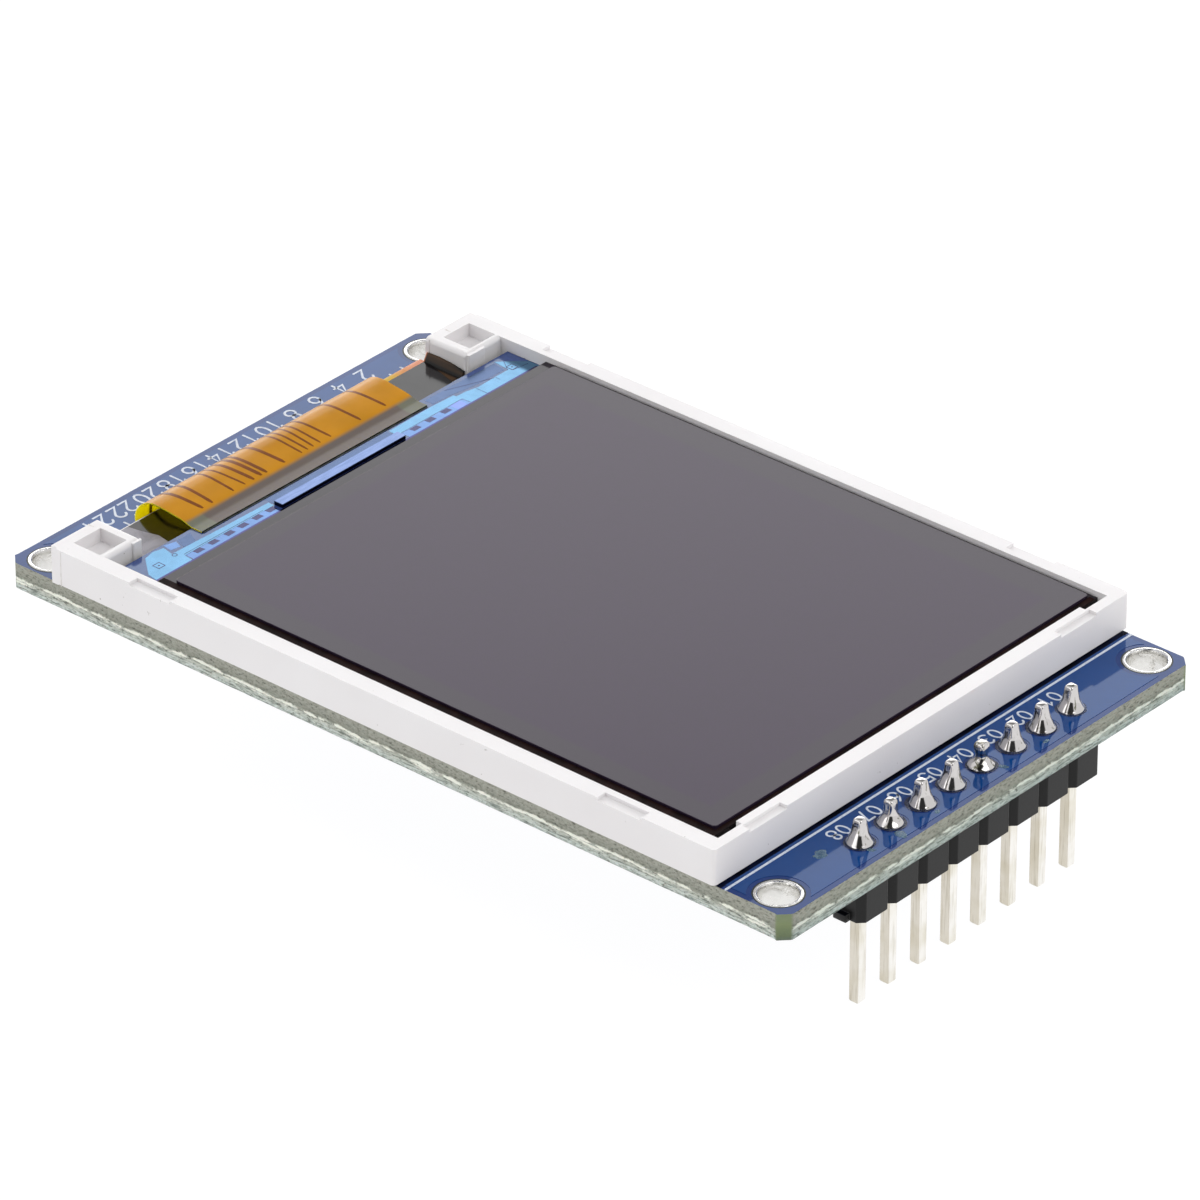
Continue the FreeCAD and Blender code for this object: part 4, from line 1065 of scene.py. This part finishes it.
class AddSolderJoints(bpy.types.Operator):
    """Builds the eight hand-soldered joints, each a little different."""
    bl_idname = "tft_module.add_solder_joints"
    bl_label = "Solder joints"

    # Radius in millimetres at each height over the board, for a plain, a low and a necked joint
    PLAIN = [(0.0, 0.97), (0.03, 1.02), (0.1, 1.0), (0.2, 0.92), (0.38, 0.79), (0.6, 0.65),
             (0.85, 0.54), (1.1, 0.455), (1.33, 0.395), (1.45, 0.34), (1.5, 0.23)]
    LOW = [(0.0, 0.97), (0.03, 1.03), (0.12, 1.0), (0.24, 0.84), (0.38, 0.62), (0.55, 0.47),
           (0.72, 0.42), (0.9, 0.46), (1.15, 0.49), (1.38, 0.43), (1.48, 0.3)]
    NECKED = [(0.0, 0.96), (0.03, 1.0), (0.1, 0.97), (0.22, 0.85), (0.4, 0.68), (0.62, 0.53),
              (0.88, 0.45), (1.12, 0.42), (1.33, 0.4), (1.45, 0.34), (1.5, 0.24)]

    def execute(self, context):
        solder = settings("solder")
        floor = box_mm("pcb")[1].z + 0.005
        for step, (x, y) in enumerate(PIN_PLACES):
            shape = {3: self.LOW, 6: self.NECKED}.get(step, self.PLAIN)
            drift = Vector((
                lump(step * 3.3, 1.0, solder.seed), lump(step * 3.3, 5.0, solder.seed))) * 0.14
            bm = bmesh.new()
            rings = []
            for height, radius in smooth_path(shape, 3):
                rise = min(max(height / 1.3, 0.0), 1.0)
                # Round at the foot, and nearly square where the solder wets the pin
                power = 2.0 + 2.8 * rise ** 3
                slide = drift * (1 - rise)
                ring = []
                for across, along in directions(56):
                    square = (abs(across) ** power + abs(along) ** power) ** (-1 / power)
                    bulge = lump(across * 1.3, along * 1.3, height * 1.6 + step * 7 + solder.seed)
                    streak = lump(across * 4, along * 4, height * 0.7 + step * 5)
                    reach = solder.foot_radius * radius * square
                    reach += solder.unevenness * (bulge + (0.1 + 0.3 * rise) * streak)
                    ring.append(bm.verts.new((
                        x + slide.x + reach * across, y + slide.y + reach * along, floor + height)))
                rings.append(ring)
            loft(bm, rings)
            tarnish = 0.45 if step == 3 else 0.0
            link_piece(f"solder_cone_{step + 1}", bm, [finish_of(hand_solder, tarnish)],
                       [f"solder_joint_{step + 1}"], smooth=60)
        return {"FINISHED"}


class AddFrame(bpy.types.Operator):
    """Rounds the white moulding that holds the panel."""
    bl_idname = "tft_module.add_frame"
    bl_label = "Backlight frame"

    def execute(self, context):
        plastic = finish_of(moulded_white_polycarbonate)
        rounded_copy("lcd_frame", "white_frame", plastic,
                     settings("frame").edge_round, reshape=self.draw_in_walls)
        high = box_mm("lcd_frame")[1]
        bm = bmesh.new()
        corner, back, front = 0.1, -21.3, -21.12
        for start, end in ((13.5, 14.2), (-14.88, -13.5)):
            outline = [(start, back), (end, back)]
            outline += bend((end - corner, front - corner), (corner, corner), 0, 90, 5)
            outline += bend((start + corner, front - corner), (corner, corner), 90, 180, 5)
            add_plate(bm, outline, 2.68, high.z - 0.03)
        link_piece("block_pads", bm, [plastic], smooth=40)
        # Thin pale grey lines on the blocks' tops and up their corners: painted shade of grooves
        # and steps in the moulding
        bm = bmesh.new()
        for x, y in ((14.3, -24.5), (-14.88, -24.25)):
            add_plate(bm, [
                (x - 0.05, y + 0.06), (x + 0.05, y + 0.06), (x + 0.03, y + 0.5),
                (x - 0.03, y + 0.5)], high.z - 0.01, high.z + 0.004)
        for x, y, foot in ((high.x, -23.6, 1.68), (-13.45, -24.1, 2.7)):
            add_plate(bm, [
                (x - 0.02, y - 0.02), (x + 0.018, y - 0.012), (x + 0.018, y + 0.012),
                (x - 0.02, y + 0.02)], foot, high.z - 0.03)
        link_piece("groove_shade_marks", bm, [finish_of(aged_polycarbonate)])
        # A thin near-black strip on the board along the frame's +Y foot: painted shadow
        bm = bmesh.new()
        floor, end = box_mm("pcb")[1].z, high.y
        add_plate(bm, [
            (-17.1, end - 0.3), (17.1, end - 0.3), (17.1, end + 0.2), (-17.1, end + 0.24)],
            floor - 0.005, floor + 0.024)
        link_piece("foot_shadow_line", bm, [finish_of(frame_adhesive)])
        return {"FINISHED"}

    def draw_in_walls(self, bm):
        """Brings the inner walls closer to the glass, where the moulding fits it tightly."""
        for vert in bm.verts:
            for axis, wall, shift in ((0, 16.45, -0.15), (0, -16.45, 0.12), (1, 22.5, -0.25)):
                if abs(vert.co[axis] / MM - wall) < 0.01:
                    vert.co[axis] += shift * MM


class AddBacklight(bpy.types.Operator):
    """Dresses the films, light guide and lamps under the glass."""
    bl_idname = "tft_module.add_backlight"
    bl_label = "Backlight stack"

    def execute(self, context):
        for maker, nodes in (
            (white_reflector_film, ["reflector_film"]), (cast_clear_acrylic, ["light_guide"]),
            (brushed_optical_film, ["diffuser_film", "prism_film_lower", "prism_film_upper"]),
            (lamp_housing_plastic, [f"backlight_led_{step + 1}" for step in range(4)]),
            (glossy_black_film, ["rim_tape"]),
            (foam_tape_core, ["mounting_tape_left", "mounting_tape_right"]),
        ):
            for node in nodes:
                dress_node(node, finish_of(maker))
        top = box_mm("rim_tape")[1].z
        bm = bmesh.new()
        add_plate(bm, [(13.4, -20.8), (13.4, -24.1), (11.5, -24.15), (11.35, -23.3), (11.05, -22.2),
                       (11.3, -20.85)], top - 0.01, top + 0.012)
        link_piece("film_tab", bm, [finish_of(hazed_clear_film)])
        return {"FINISHED"}


class AddPanel(bpy.types.Operator):
    """Dresses both glasses and builds the round-cornered screen film."""
    bl_idname = "tft_module.add_panel"
    bl_label = "Display panel"

    def execute(self, context):
        dress_node("array_glass", finish_of(scribed_array_glass))
        dress_node("colour_filter_glass", finish_of(black_bordered_glass))
        dress_node("rear_polarizer", finish_of(coated_polarizer))
        low, high = box_mm("front_polarizer")
        # The film was laid a little to the left of the glass's middle
        low.x -= settings("panel").film_slip
        high.x -= settings("panel").film_slip
        radius = settings("panel").corner_round
        outline = []
        for x, y, start in (
            (high.x - radius, high.y - radius, 0), (low.x + radius, high.y - radius, 90),
            (low.x + radius, low.y + radius, 180), (high.x - radius, low.y + radius, 270),
        ):
            outline += bend((x, y), (radius, radius), start, start + 90, 8)
        lip = 0.03
        bm = bmesh.new()
        centre = (low + high) / 2
        rings = []
        for inset, level in (
            (0.0, low.z), (0.0, high.z - lip), (lip * 0.3, high.z - lip * 0.3), (lip, high.z),
        ):
            scale_x = 1 - inset / (high.x - centre.x)
            scale_y = 1 - inset / (high.y - centre.y)
            rings.append([
                bm.verts.new((
                    centre.x + (x - centre.x) * scale_x, centre.y + (y - centre.y) * scale_y,
                    level))
                for x, y in outline])
        loft(bm, rings)
        link_piece("screen_film", bm, [finish_of(coated_polarizer)],
                   ["front_polarizer"], smooth=15)
        self.add_edges(low, high)
        return {"FINISHED"}

    def add_edges(self, low, high):
        """The seal beside the screen film, and the glints along its front edge."""
        cell_low, cell_high = box_mm("colour_filter_glass")
        level = cell_high.z
        gap = 0.03
        outer, inner = cell_high.x - 0.01, high.x + gap
        bm = bmesh.new()
        add_plate(bm, [
            (inner, cell_low.y + 0.05), (outer, cell_low.y + 0.05), (outer, cell_high.y - 0.01),
            (low.x, cell_high.y - 0.01), (low.x, high.y + gap), (inner, high.y + gap)],
            level - 0.01, level + 0.012)
        link_piece("cell_edge_seal", bm, [finish_of(edge_sealant)])
        bm = bmesh.new()
        count = 34
        for index in range(count):
            share = (index + 0.4 * lump(index * 1.7, 2.0, 0.0)) / (count - 1)
            x = low.x + 0.4 + (high.x - low.x - 0.8) * share
            size = 0.05 + 0.05 * abs(lump(index * 2.3, 7.0, 1.0))
            add_plate(bm, ring_points((x, low.y - 0.07), size, 6, index), level, level + 0.012)
        add_ribbon(bm, [(low.x + 0.3, low.y - 0.04), (high.x - 0.3, low.y - 0.04)], 0.035, level,
                   level + 0.02)
        # The pale metal dots and line stand in for glints along the film's front edge: painted
        # highlight
        glint = finish_of(sputtered_film, "edge_glint", "#8E8C96", 0.3)
        link_piece("film_edge_glints", bm, [glint])


class AddLedge(bpy.types.Operator):
    """Lays the thin metal patterns on the glass ledge and the driver chip between them."""
    bl_idname = "tft_module.add_ledge"
    bl_label = "Glass ledge"

    # Height in millimetres, colour, roughness and outlines in plan of each metal film
    FILMS = {
        "cyan_rail": (0.006, "#5B86A6", 0.2, [
            [(14.05, -20.4), (15.2, -19.07), (15.35, -18.25), (12.45, -18.3), (12.37, -19.0),
             (5.15, -19.0), (5.15, -19.42), (8.77, -19.5), (12.16, -19.62), (12.72, -19.64),
             (12.55, -20.41), (13.28, -20.58)],
            [(-14.88, -20.46), (-14.75, -19.27), (-13.46, -19.27), (-12.11, -19.23),
             (-11.27, -19.42), (-10.54, -19.45), (-10.49, -19.66), (-8.67, -19.75), (-5.1, -19.7),
             (-5.1, -19.05), (-10.55, -19.05), (-10.6, -18.25), (-16.25, -18.25), (-16.25, -19.05),
             (-15.48, -19.9)]]),
        "blue_rail": (0.005, "#5977A4", 0.22, [
            [(12.35, -18.33), (12.3, -18.97), (5.4, -18.99), (5.4, -18.33)],
            [(-5.4, -18.33), (-5.4, -19.0), (-10.5, -19.0), (-10.55, -18.33)],
            [(12.39, -20.6), (12.48, -19.96), (11.82, -19.83), (11.6, -20.39)]]),
        "violet_rail": (0.008, "#3B3868", 0.22, [
            [(15.5, -17.9), (15.5, -18.38), (-16.1, -18.38), (-16.1, -17.9)]]),
        "lilac_rail": (0.004, "#475A7C", 0.25, [
            [(5.05, -19.12), (5.05, -19.75), (-5.0, -19.75), (-5.0, -19.12)],
            [(-9.0, -19.85), (-10.6, -19.75), (-12.0, -19.5), (-14.6, -19.4), (-14.75, -20.35),
             (-9.0, -20.5)],
            [(10.4, -20.45), (11.5, -20.4), (11.75, -19.7), (10.9, -19.5)]]),
        "pale_rail": (0.006, "#6476B0", 0.2, [
            [(-9.5, -18.4), (-9.5, -19.0), (-10.3, -19.0), (-10.3, -18.4)]]),
    }
    DARK_SQUARES = [11.46, 10.27, 8.99, 7.88, 6.71, 5.62, -6.34, -7.61, -8.91]
    HAIRLINES = [
        ((12.3, -19.12), (6.0, -19.08)), ((-14.7, -19.3), (-15.3, -20.1)),
        ((-14.9, -19.05), (-16.0, -18.9)), ((-11.95, -19.2), (-11.95, -18.3)),
        ((-13.6, -19.2), (-13.6, -18.9)), ((-13.5, -19.25), (-10.6, -20.4)),
    ]

    def execute(self, context):
        surface = box_mm("array_glass")[1].z
        for name, (height, colour, roughness, outlines) in self.FILMS.items():
            bm = bmesh.new()
            for outline in outlines:
                add_plate(bm, outline, surface - 0.002, surface + height)
            film = finish_of(sputtered_film, name, colour, roughness)
            link_piece(name, bm, [film])
        bm = bmesh.new()
        for x in self.DARK_SQUARES:
            add_plate(bm, [
                (x - 0.27, -18.98), (x + 0.33, -18.98), (x + 0.27, -18.62), (x - 0.33, -18.62)],
                surface, surface + 0.009)
        dark = finish_of(sputtered_film, "dark_pad", "#3A3A5C", 0.25)
        link_piece("dark_pads", bm, [dark])
        bm = bmesh.new()
        levels = (surface, surface + 0.011)
        for x, y in ((14.1, -19.33), (-15.12, -19.32)):
            add_ribbon(bm, [
                (x - 0.24, y - 0.24), (x + 0.24, y - 0.24), (x + 0.24, y + 0.24),
                (x - 0.24, y + 0.24)], 0.05, *levels, closed=True)
            add_plate(bm, ring_points((x, y), 0.06, 8), *levels)
        add_ribbon(bm, ring_points((12.7, -19.46), 0.14, 16), 0.045, *levels, closed=True)
        for ends in self.HAIRLINES:
            add_ribbon(bm, ends, 0.03, *levels)
        link_piece("alignment_marks", bm, [dark])
        rounded_copy(
            "driver_chip", "silicon_driver", finish_of(polished_silicon), 0.02, 1)
        return {"FINISHED"}


# Flex tails

FLEX_PATH = [
    (-19.95, 3.25), (-20.35, 3.25), (-20.72, 3.265), (-21.05, 3.36), (-21.4, 3.46), (-21.9, 3.535),
    (-22.4, 3.595), (-22.9, 3.65), (-23.3, 3.67), (-23.7, 3.64), (-24.1, 3.51), (-24.5, 3.23),
    (-24.8, 2.85), (-24.95, 2.4), (-24.93, 2.02), (-24.75, 1.76), (-24.4, 1.68), (-22.5, 1.67),
    (-17.05, 1.67),
]
TRACK_LINES = [
    (8.64, 8.33, 0.2), (7.58, 7.55, 0.18), (5.86, 5.83, 0.14), (5.23, 4.88, 0.12),
    (4.48, 4.17, 0.2), (3.81, 3.55, 0.22), (3.34, 3.12, 0.2), (1.95, 1.65, 0.2),
    (0.34, 0.23, 0.12), (-0.14, -0.26, 0.12), (-0.71, -0.72, 0.12), (-1.19, -1.29, 0.12),
    (-1.9, -2.17, 0.14), (-4.4, -4.65, 0.16), (-6.49, -6.75, 0.16),
]


def flex_frames(steps):
    """Points of the folded path with their outward directions, and the distance along it."""
    path = smooth_path(FLEX_PATH, steps)
    frames = []
    distance = 0.0
    for index, point in enumerate(path):
        before = path[max(index - 1, 0)]
        after = path[min(index + 1, len(path) - 1)]
        way = (after - before).normalized()
        frames.append((point, Vector((way.y, -way.x)), distance))
        if index + 1 < len(path):
            distance += (path[index + 1] - point).length
    return frames


def sway(x, distance):
    """How far the free part of the display flex waves off its path."""
    free = math.sin(math.pi * min(max((distance - 0.9) / 6.0, 0.0), 1.0))
    return 0.035 * free * lump(x / 3.1, distance / 2.4, 2.0)


class AddFlexTail(bpy.types.Operator):
    """Folds the display's flex over the sill and draws its track lines."""
    bl_idname = "tft_module.add_flex_tail"
    bl_label = "Display flex"

    def execute(self, context):
        low, high = box_mm("flex_tail")
        frames = flex_frames(6)
        half = 0.045
        columns = 48
        bm = bmesh.new()
        sides = []
        for sign in (1, -1):
            rows = []
            for point, outward, distance in frames:
                row = []
                for step in range(columns + 1):
                    x = low.x + (high.x - low.x) * step / columns
                    place = point + outward * (sign * half + sway(x, distance))
                    row.append(bm.verts.new((x, place.x, place.y)))
                rows.append(row)
            sides.append(rows)
        outer, inner = sides
        strips = [(near, far, 0) for near, far in zip(outer, outer[1:])]
        strips += [(near, far, 1) for near, far in zip(inner, inner[1:])]
        for place in (0, columns):
            strips.append(([row[place] for row in outer], [row[place] for row in inner], 1))
        # Both ends of the flex take the dark coat, which paints shade along the bonded front edge
        strips += [(outer[place], inner[place], 2) for place in (0, -1)]
        for near, far, material in strips:
            for (a, b), (d, c) in zip(zip(near, near[1:]), zip(far, far[1:])):
                bm.faces.new((a, b, c, d)).material_index = material
        link_piece("folded_flex", bm, [
            finish_of(polyimide_over_copper), finish_of(bare_polyimide), finish_of(bond_resin)],
            ["flex_tail"], smooth=40)
        # A dark bead along the front of the bonded strip: painted shadow
        bm = bmesh.new()
        add_ribbon(bm, [(low.x + 0.1, -19.92), (high.x - 0.1, -19.92)], 0.16, 3.2, 3.235)
        link_piece("bond_resin_bead", bm, [finish_of(bond_resin)])
        self.add_tracks(frames, half)
        return {"FINISHED"}

    def add_tracks(self, frames, half):
        """Thin raised lines that follow the fold."""
        crest = next(distance for point, outward, distance in frames if point.x < -23.7)
        start = next(distance for point, outward, distance in frames if point.x < -21.35)
        bm = bmesh.new()
        for x_crest, x_start, width in TRACK_LINES:
            rings = []
            for point, outward, distance in frames:
                if distance < start or distance > crest + 4.0:
                    continue
                share = min((distance - start) / (crest - start), 1.5)
                x = x_start + (x_crest - x_start) * share
                level = half + sway(x, distance)
                taper = 1.25 * min(1.0, 0.5 + (distance - start) / 0.5)
                low, high = point + outward * (level - 0.01), point + outward * (level + 0.006)
                rings.append([
                    bm.verts.new((x + side * width * taper / 2, place.x, place.y))
                    for side, place in ((-1, low), (-1, high), (1, high), (1, low))])
            loft(bm, rings)
        link_piece("flex_track_lines", bm, [finish_of(flex_track_gap)], smooth=40)


class AddLampFlex(bpy.types.Operator):
    """Rounds the backlight's own flex and its folded tail."""
    bl_idname = "tft_module.add_lamp_flex"
    bl_label = "Lamp flex"

    def execute(self, context):
        coverlay = finish_of(black_coverlay_flex)
        rounded_copy("led_flex", "lamp_flex", coverlay, 0.02, 1)
        # The tail is creased against the block and stands up along its foot
        foot = 2.58
        crease = [
            (-13.43, foot), (-13.43, 3.06), (-13.38, 3.1), (-13.31, 3.09), (-13.2, 2.9),
            (-13.0, foot)]
        bm = bmesh.new()
        loft(bm, [
            [bm.verts.new((x, y, foot + (z - foot) * rise)) for x, z in crease]
            for y, rise in ((-24.2, 1.0), (-23.2, 1.06), (-22.2, 0.9), (-21.4, 0.6))])
        link_piece("lamp_flex_crease", bm, [coverlay], smooth=30)
        return {"FINISHED"}


class AddUnderside(bpy.types.Operator):
    """Rounds the parts under the board and gives them solder fillets."""
    bl_idname = "tft_module.add_underside"
    bl_label = "Underside parts"

    def execute(self, context):
        tin = finish_of(tinned_copper)
        epoxy = finish_of(moulded_epoxy)
        for name in ("voltage_regulator", "backlight_transistor"):
            rounded_copy(f"{name}_case", f"{name}_body", epoxy, 0.09)
            rounded_copy(f"{name}_leads", f"{name}_feet", tin, 0.04)
        for kind, count, low, high, slot, width in (
            ("resistor", 3, "#121214", "#1E1E22", "chip_resistor_body", 0.03),
            ("capacitor", 2, "#8A6D4A", "#A88A62", "chip_ceramic", 0.05),
        ):
            for step in range(count):
                rounded_copy(f"chip_{kind}_{step + 1}", f"{kind}_body_{step + 1}",
                             finish_of(fired_ceramic, kind, low, high), width)
        rounded_copy("chip_end_caps", "chip_end_caps_round", tin, 0.05)
        bm = bmesh.new()
        for x in (-11.0, 11.0):
            for y in (7.6, 5.4, 3.2):
                if x < 0 and y < 4:
                    continue
                for sign in (-1, 1):
                    self.add_fillet(bm, (x + sign * 0.98, y), 0.3, int(x * 3 + y * 7 + sign))
            for place in ((x - 0.95, 10.9), (x + 0.95, 10.9), (x, 13.1)):
                self.add_fillet(bm, place, 0.14, int(place[0] * 5 + place[1]))
        link_piece("underside_fillets", bm, [finish_of(hand_solder, 0.0)], smooth=60)
        return {"FINISHED"}

    def add_fillet(self, bm, centre, height, seed):
        """A low solder mound hung under the board."""
        radius = 0.42
        level = box_mm("pcb")[0].z + 0.01
        rings = []
        for share in (1.0, 0.86, 0.66, 0.44, 0.2):
            ring = []
            for across, along in directions(20):
                reach = radius * share * (1 + 0.08 * lump(across * 2, along * 2, seed))
                ring.append(bm.verts.new((
                    centre[0] + reach * across, centre[1] + reach * along * 0.9,
                    level - height * (1 - share) ** 0.7)))
            rings.append(ring)
        loft(bm, rings)


class AddResidue(bpy.types.Operator):
    """Leaves the thin flux blobs and crumbs of hand soldering."""
    bl_idname = "tft_module.add_residue"
    bl_label = "Flux residue"

    # Centre, length, width and turn of each blob
    BLOBS = [
        (11.2, 25.35, 0.52, 0.34, 0.3), (6.9, 27.25, 0.4, 0.3, 1.2), (3.9, 27.3, 0.22, 0.14, 0.4),
        (-1.9, 27.1, 0.3, 0.16, 2.0), (-5.4, 27.2, 0.26, 0.13, 0.2), (9.1, 27.1, 0.24, 0.15, 2.4),
    ]

    def execute(self, context):
        floor = box_mm("pcb")[1].z + settings("board").copper_step
        bm = bmesh.new()
        for index, (x, y, length, width, turned) in enumerate(self.BLOBS):
            rings = []
            for share, height in ((1.0, -0.004), (0.9, 0.016), (0.65, 0.028), (0.3, 0.03)):
                ring = []
                for cosine, sine in directions(28):
                    ragged = 1 + 0.4 * lump(cosine * 1.8, sine * 1.8, index * 5.0)
                    across = length * share * ragged * cosine
                    along = width * share * ragged * sine
                    ring.append(bm.verts.new((
                        x + across * math.cos(turned) - along * math.sin(turned),
                        y + across * math.sin(turned) + along * math.cos(turned),
                        floor + height)))
                rings.append(ring)
            loft(bm, rings)
        link_piece("flux_residue", bm, [finish_of(dried_flux)], smooth=60)
        bm = bmesh.new()
        for place in PIN_PLACES:
            outer = [
                (x + 0.06 * lump(x * 2, y * 2, 3.0), y + 0.06 * lump(x * 2, y * 2, 9.0))
                for x, y in ring_points(place, 0.88, 40)]
            add_plate(bm, outer, floor - 0.015, floor + 0.004, [ring_points(place, 0.66, 40)])
        link_piece("joint_foot_rings", bm, [finish_of(clear_rosin)])
        return {"FINISHED"}


# Camera of the photograph, solved from the board, frame, holes and pins, in millimetres
CAMERA_PLACE = (348.43, 302.19, 277.42)
CAMERA_TARGET = (-2.971, -2.208, 0.0)
CAMERA_LENS = 295.35


class AddStudio(bpy.types.Operator):
    """Sets the light table, the white tent, the key light and the camera."""
    bl_idname = "tft_module.add_studio"
    bl_label = "Studio"

    def execute(self, context):
        studio = settings("studio")
        scene = context.scene
        scene.view_settings.view_transform = "Standard"
        bm = bmesh.new()
        bmesh.ops.create_grid(bm, x_segments=8, y_segments=8, size=3.0)
        for vert in bm.verts:
            vert.co.z = CAD_BOX[0].z
        mesh = bpy.data.meshes.new("light_table")
        bm.to_mesh(mesh)
        bm.free()
        mesh.materials.append(finish_of(backlit_opal_acrylic))
        floor = bpy.data.objects.new("light_table", mesh)
        scene.collection.objects.link(floor)
        self.add_tent(scene, studio)
        lamp = bpy.data.lights.new("key_softbox", "AREA")
        lamp.shape = "RECTANGLE"
        lamp.size = 0.5
        lamp.size_y = 0.4
        lamp.energy = studio.key_power
        key_place = Vector((0.02, 0.44, 0.47))
        self.aim(scene, "key_softbox", lamp, key_place, -key_place)
        lens = bpy.data.cameras.new("photo_camera")
        lens.sensor_width = 36.0
        lens.lens = CAMERA_LENS
        lens.clip_start = 0.01
        lens.clip_end = 20.0
        place = Vector(CAMERA_PLACE)
        scene.camera = self.aim(
            scene, "photo_camera", lens, place * MM, (Vector(CAMERA_TARGET) - place).normalized())
        return {"FINISHED"}

    def aim(self, scene, name, data, place, way):
        """Links a light or camera that looks along a direction."""
        made = bpy.data.objects.new(name, data)
        made.location = place
        made.rotation_mode = "QUATERNION"
        made.rotation_quaternion = way.to_track_quat("-Z", "Y")
        scene.collection.objects.link(made)
        return made

    def add_tent(self, scene, studio):
        """A white surround: a bright window low behind the object, dim above that, a dark gap at
        the camera and a soft glow from one side."""
        world = bpy.data.worlds.new("white_tent")
        world.use_nodes = True
        tree = world.node_tree
        tree.nodes.clear()
        way = add_node(tree, "TexCoord").outputs["Generated"]
        turned = {"up": add_node(tree, "SeparateXYZ", {"Vector": way}).outputs["Z"]}
        for name, direction in (
            ("behind", (-0.756, -0.655, 0.0)), ("sideways", (-0.655, 0.756, 0.0)),
            ("before", (0.756, 0.655, 0.0)), ("beside", (0.94, -0.34, 0.0)),
        ):
            turned[name] = add_node(
                tree, "VectorMath", {0: way, 1: direction}, operation="DOT_PRODUCT")
        turned["sideways"] = add_node(
            tree, "Math", {0: turned["sideways"]}, operation="ABSOLUTE")
        # Where each part of the light starts and ends along its direction, and its strength there
        parts = {}
        for name, source, *span in (
            ("far half", "behind", 0.2, 0.5, 0.0, 1.0),
            ("window width", "sideways", 0.4, 0.55, 1.0, 0.0),
            ("window height", "up", 0.45, 0.66, studio.back_strength, -0.65),
            ("near half", "before", 0.15, 0.35, 0.0, 0.92),
            ("gap width", "sideways", 0.36, 0.5, 1.0, 0.0),
            ("side glow", "beside", 0.72, 0.95, 0.0, 0.9),
        ):
            parts[name] = add_node(
                tree, "MapRange", {"Value": turned[source], **dict(zip(RANGE, span))}, **SMOOTHED)
        for name, first, second, operation in (
            ("window", "far half", "window width", "MULTIPLY"),
            ("window", "window", "window height", "MULTIPLY"),
            ("gap", "near half", "gap width", "MULTIPLY"),
            ("light", "window", studio.tent_strength, "ADD"),
            ("light", "light", "gap", "SUBTRACT"),
            ("light", "light", "side glow", "ADD"),
        ):
            parts[name] = add_node(tree, "Math", {
                0: parts[first], 1: parts.get(second, second)}, operation=operation)
        sky = add_node(tree, "Background", {"Color": "#FFFFFF", "Strength": parts["light"]})
        add_node(tree, "OutputWorld", {"Surface": sky})
        scene.world = world


GROUPS = {
    "board": BoardSettings,
    "solder": SolderSettings,
    "frame": FrameSettings,
    "panel": PanelSettings,
    "flex": FlexSettings,
    "studio": StudioSettings,
}
STEPS = (
    AddBoard, AddLegend, AddPlating, AddHeader, AddSolderJoints, AddFrame, AddBacklight, AddPanel,
    AddLedge, AddFlexTail, AddLampFlex, AddUnderside, AddResidue, AddStudio,
)


class ModulePanel(bpy.types.Panel):
    """Lists the steps and settings of the display module."""
    bl_idname = "VIEW3D_PT_tft_module"
    bl_label = "TFT module"
    bl_space_type = "VIEW_3D"
    bl_region_type = "UI"
    bl_category = "TFT module"

    def draw(self, context):
        for name, group in GROUPS.items():
            column = self.layout.column(heading=name.capitalize())
            for field in group.__annotations__:
                column.prop(getattr(context.scene, f"tft_{name}"), field)
        for step in STEPS:
            self.layout.operator(step.bl_idname)


def register():
    for kind in (*GROUPS.values(), *STEPS, ModulePanel):
        bpy.utils.register_class(kind)
    for name, group in GROUPS.items():
        setattr(bpy.types.Scene, f"tft_{name}", PointerProperty(type=group))


def unregister():
    for name in GROUPS:
        delattr(bpy.types.Scene, f"tft_{name}")
    for kind in reversed((*GROUPS.values(), *STEPS, ModulePanel)):
        bpy.utils.unregister_class(kind)


def main():
    """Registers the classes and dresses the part."""
    register()
    for step in STEPS:
        family, name = step.bl_idname.split(".")
        getattr(getattr(bpy.ops, family), name)()


if __name__ == "__main__":
    main()
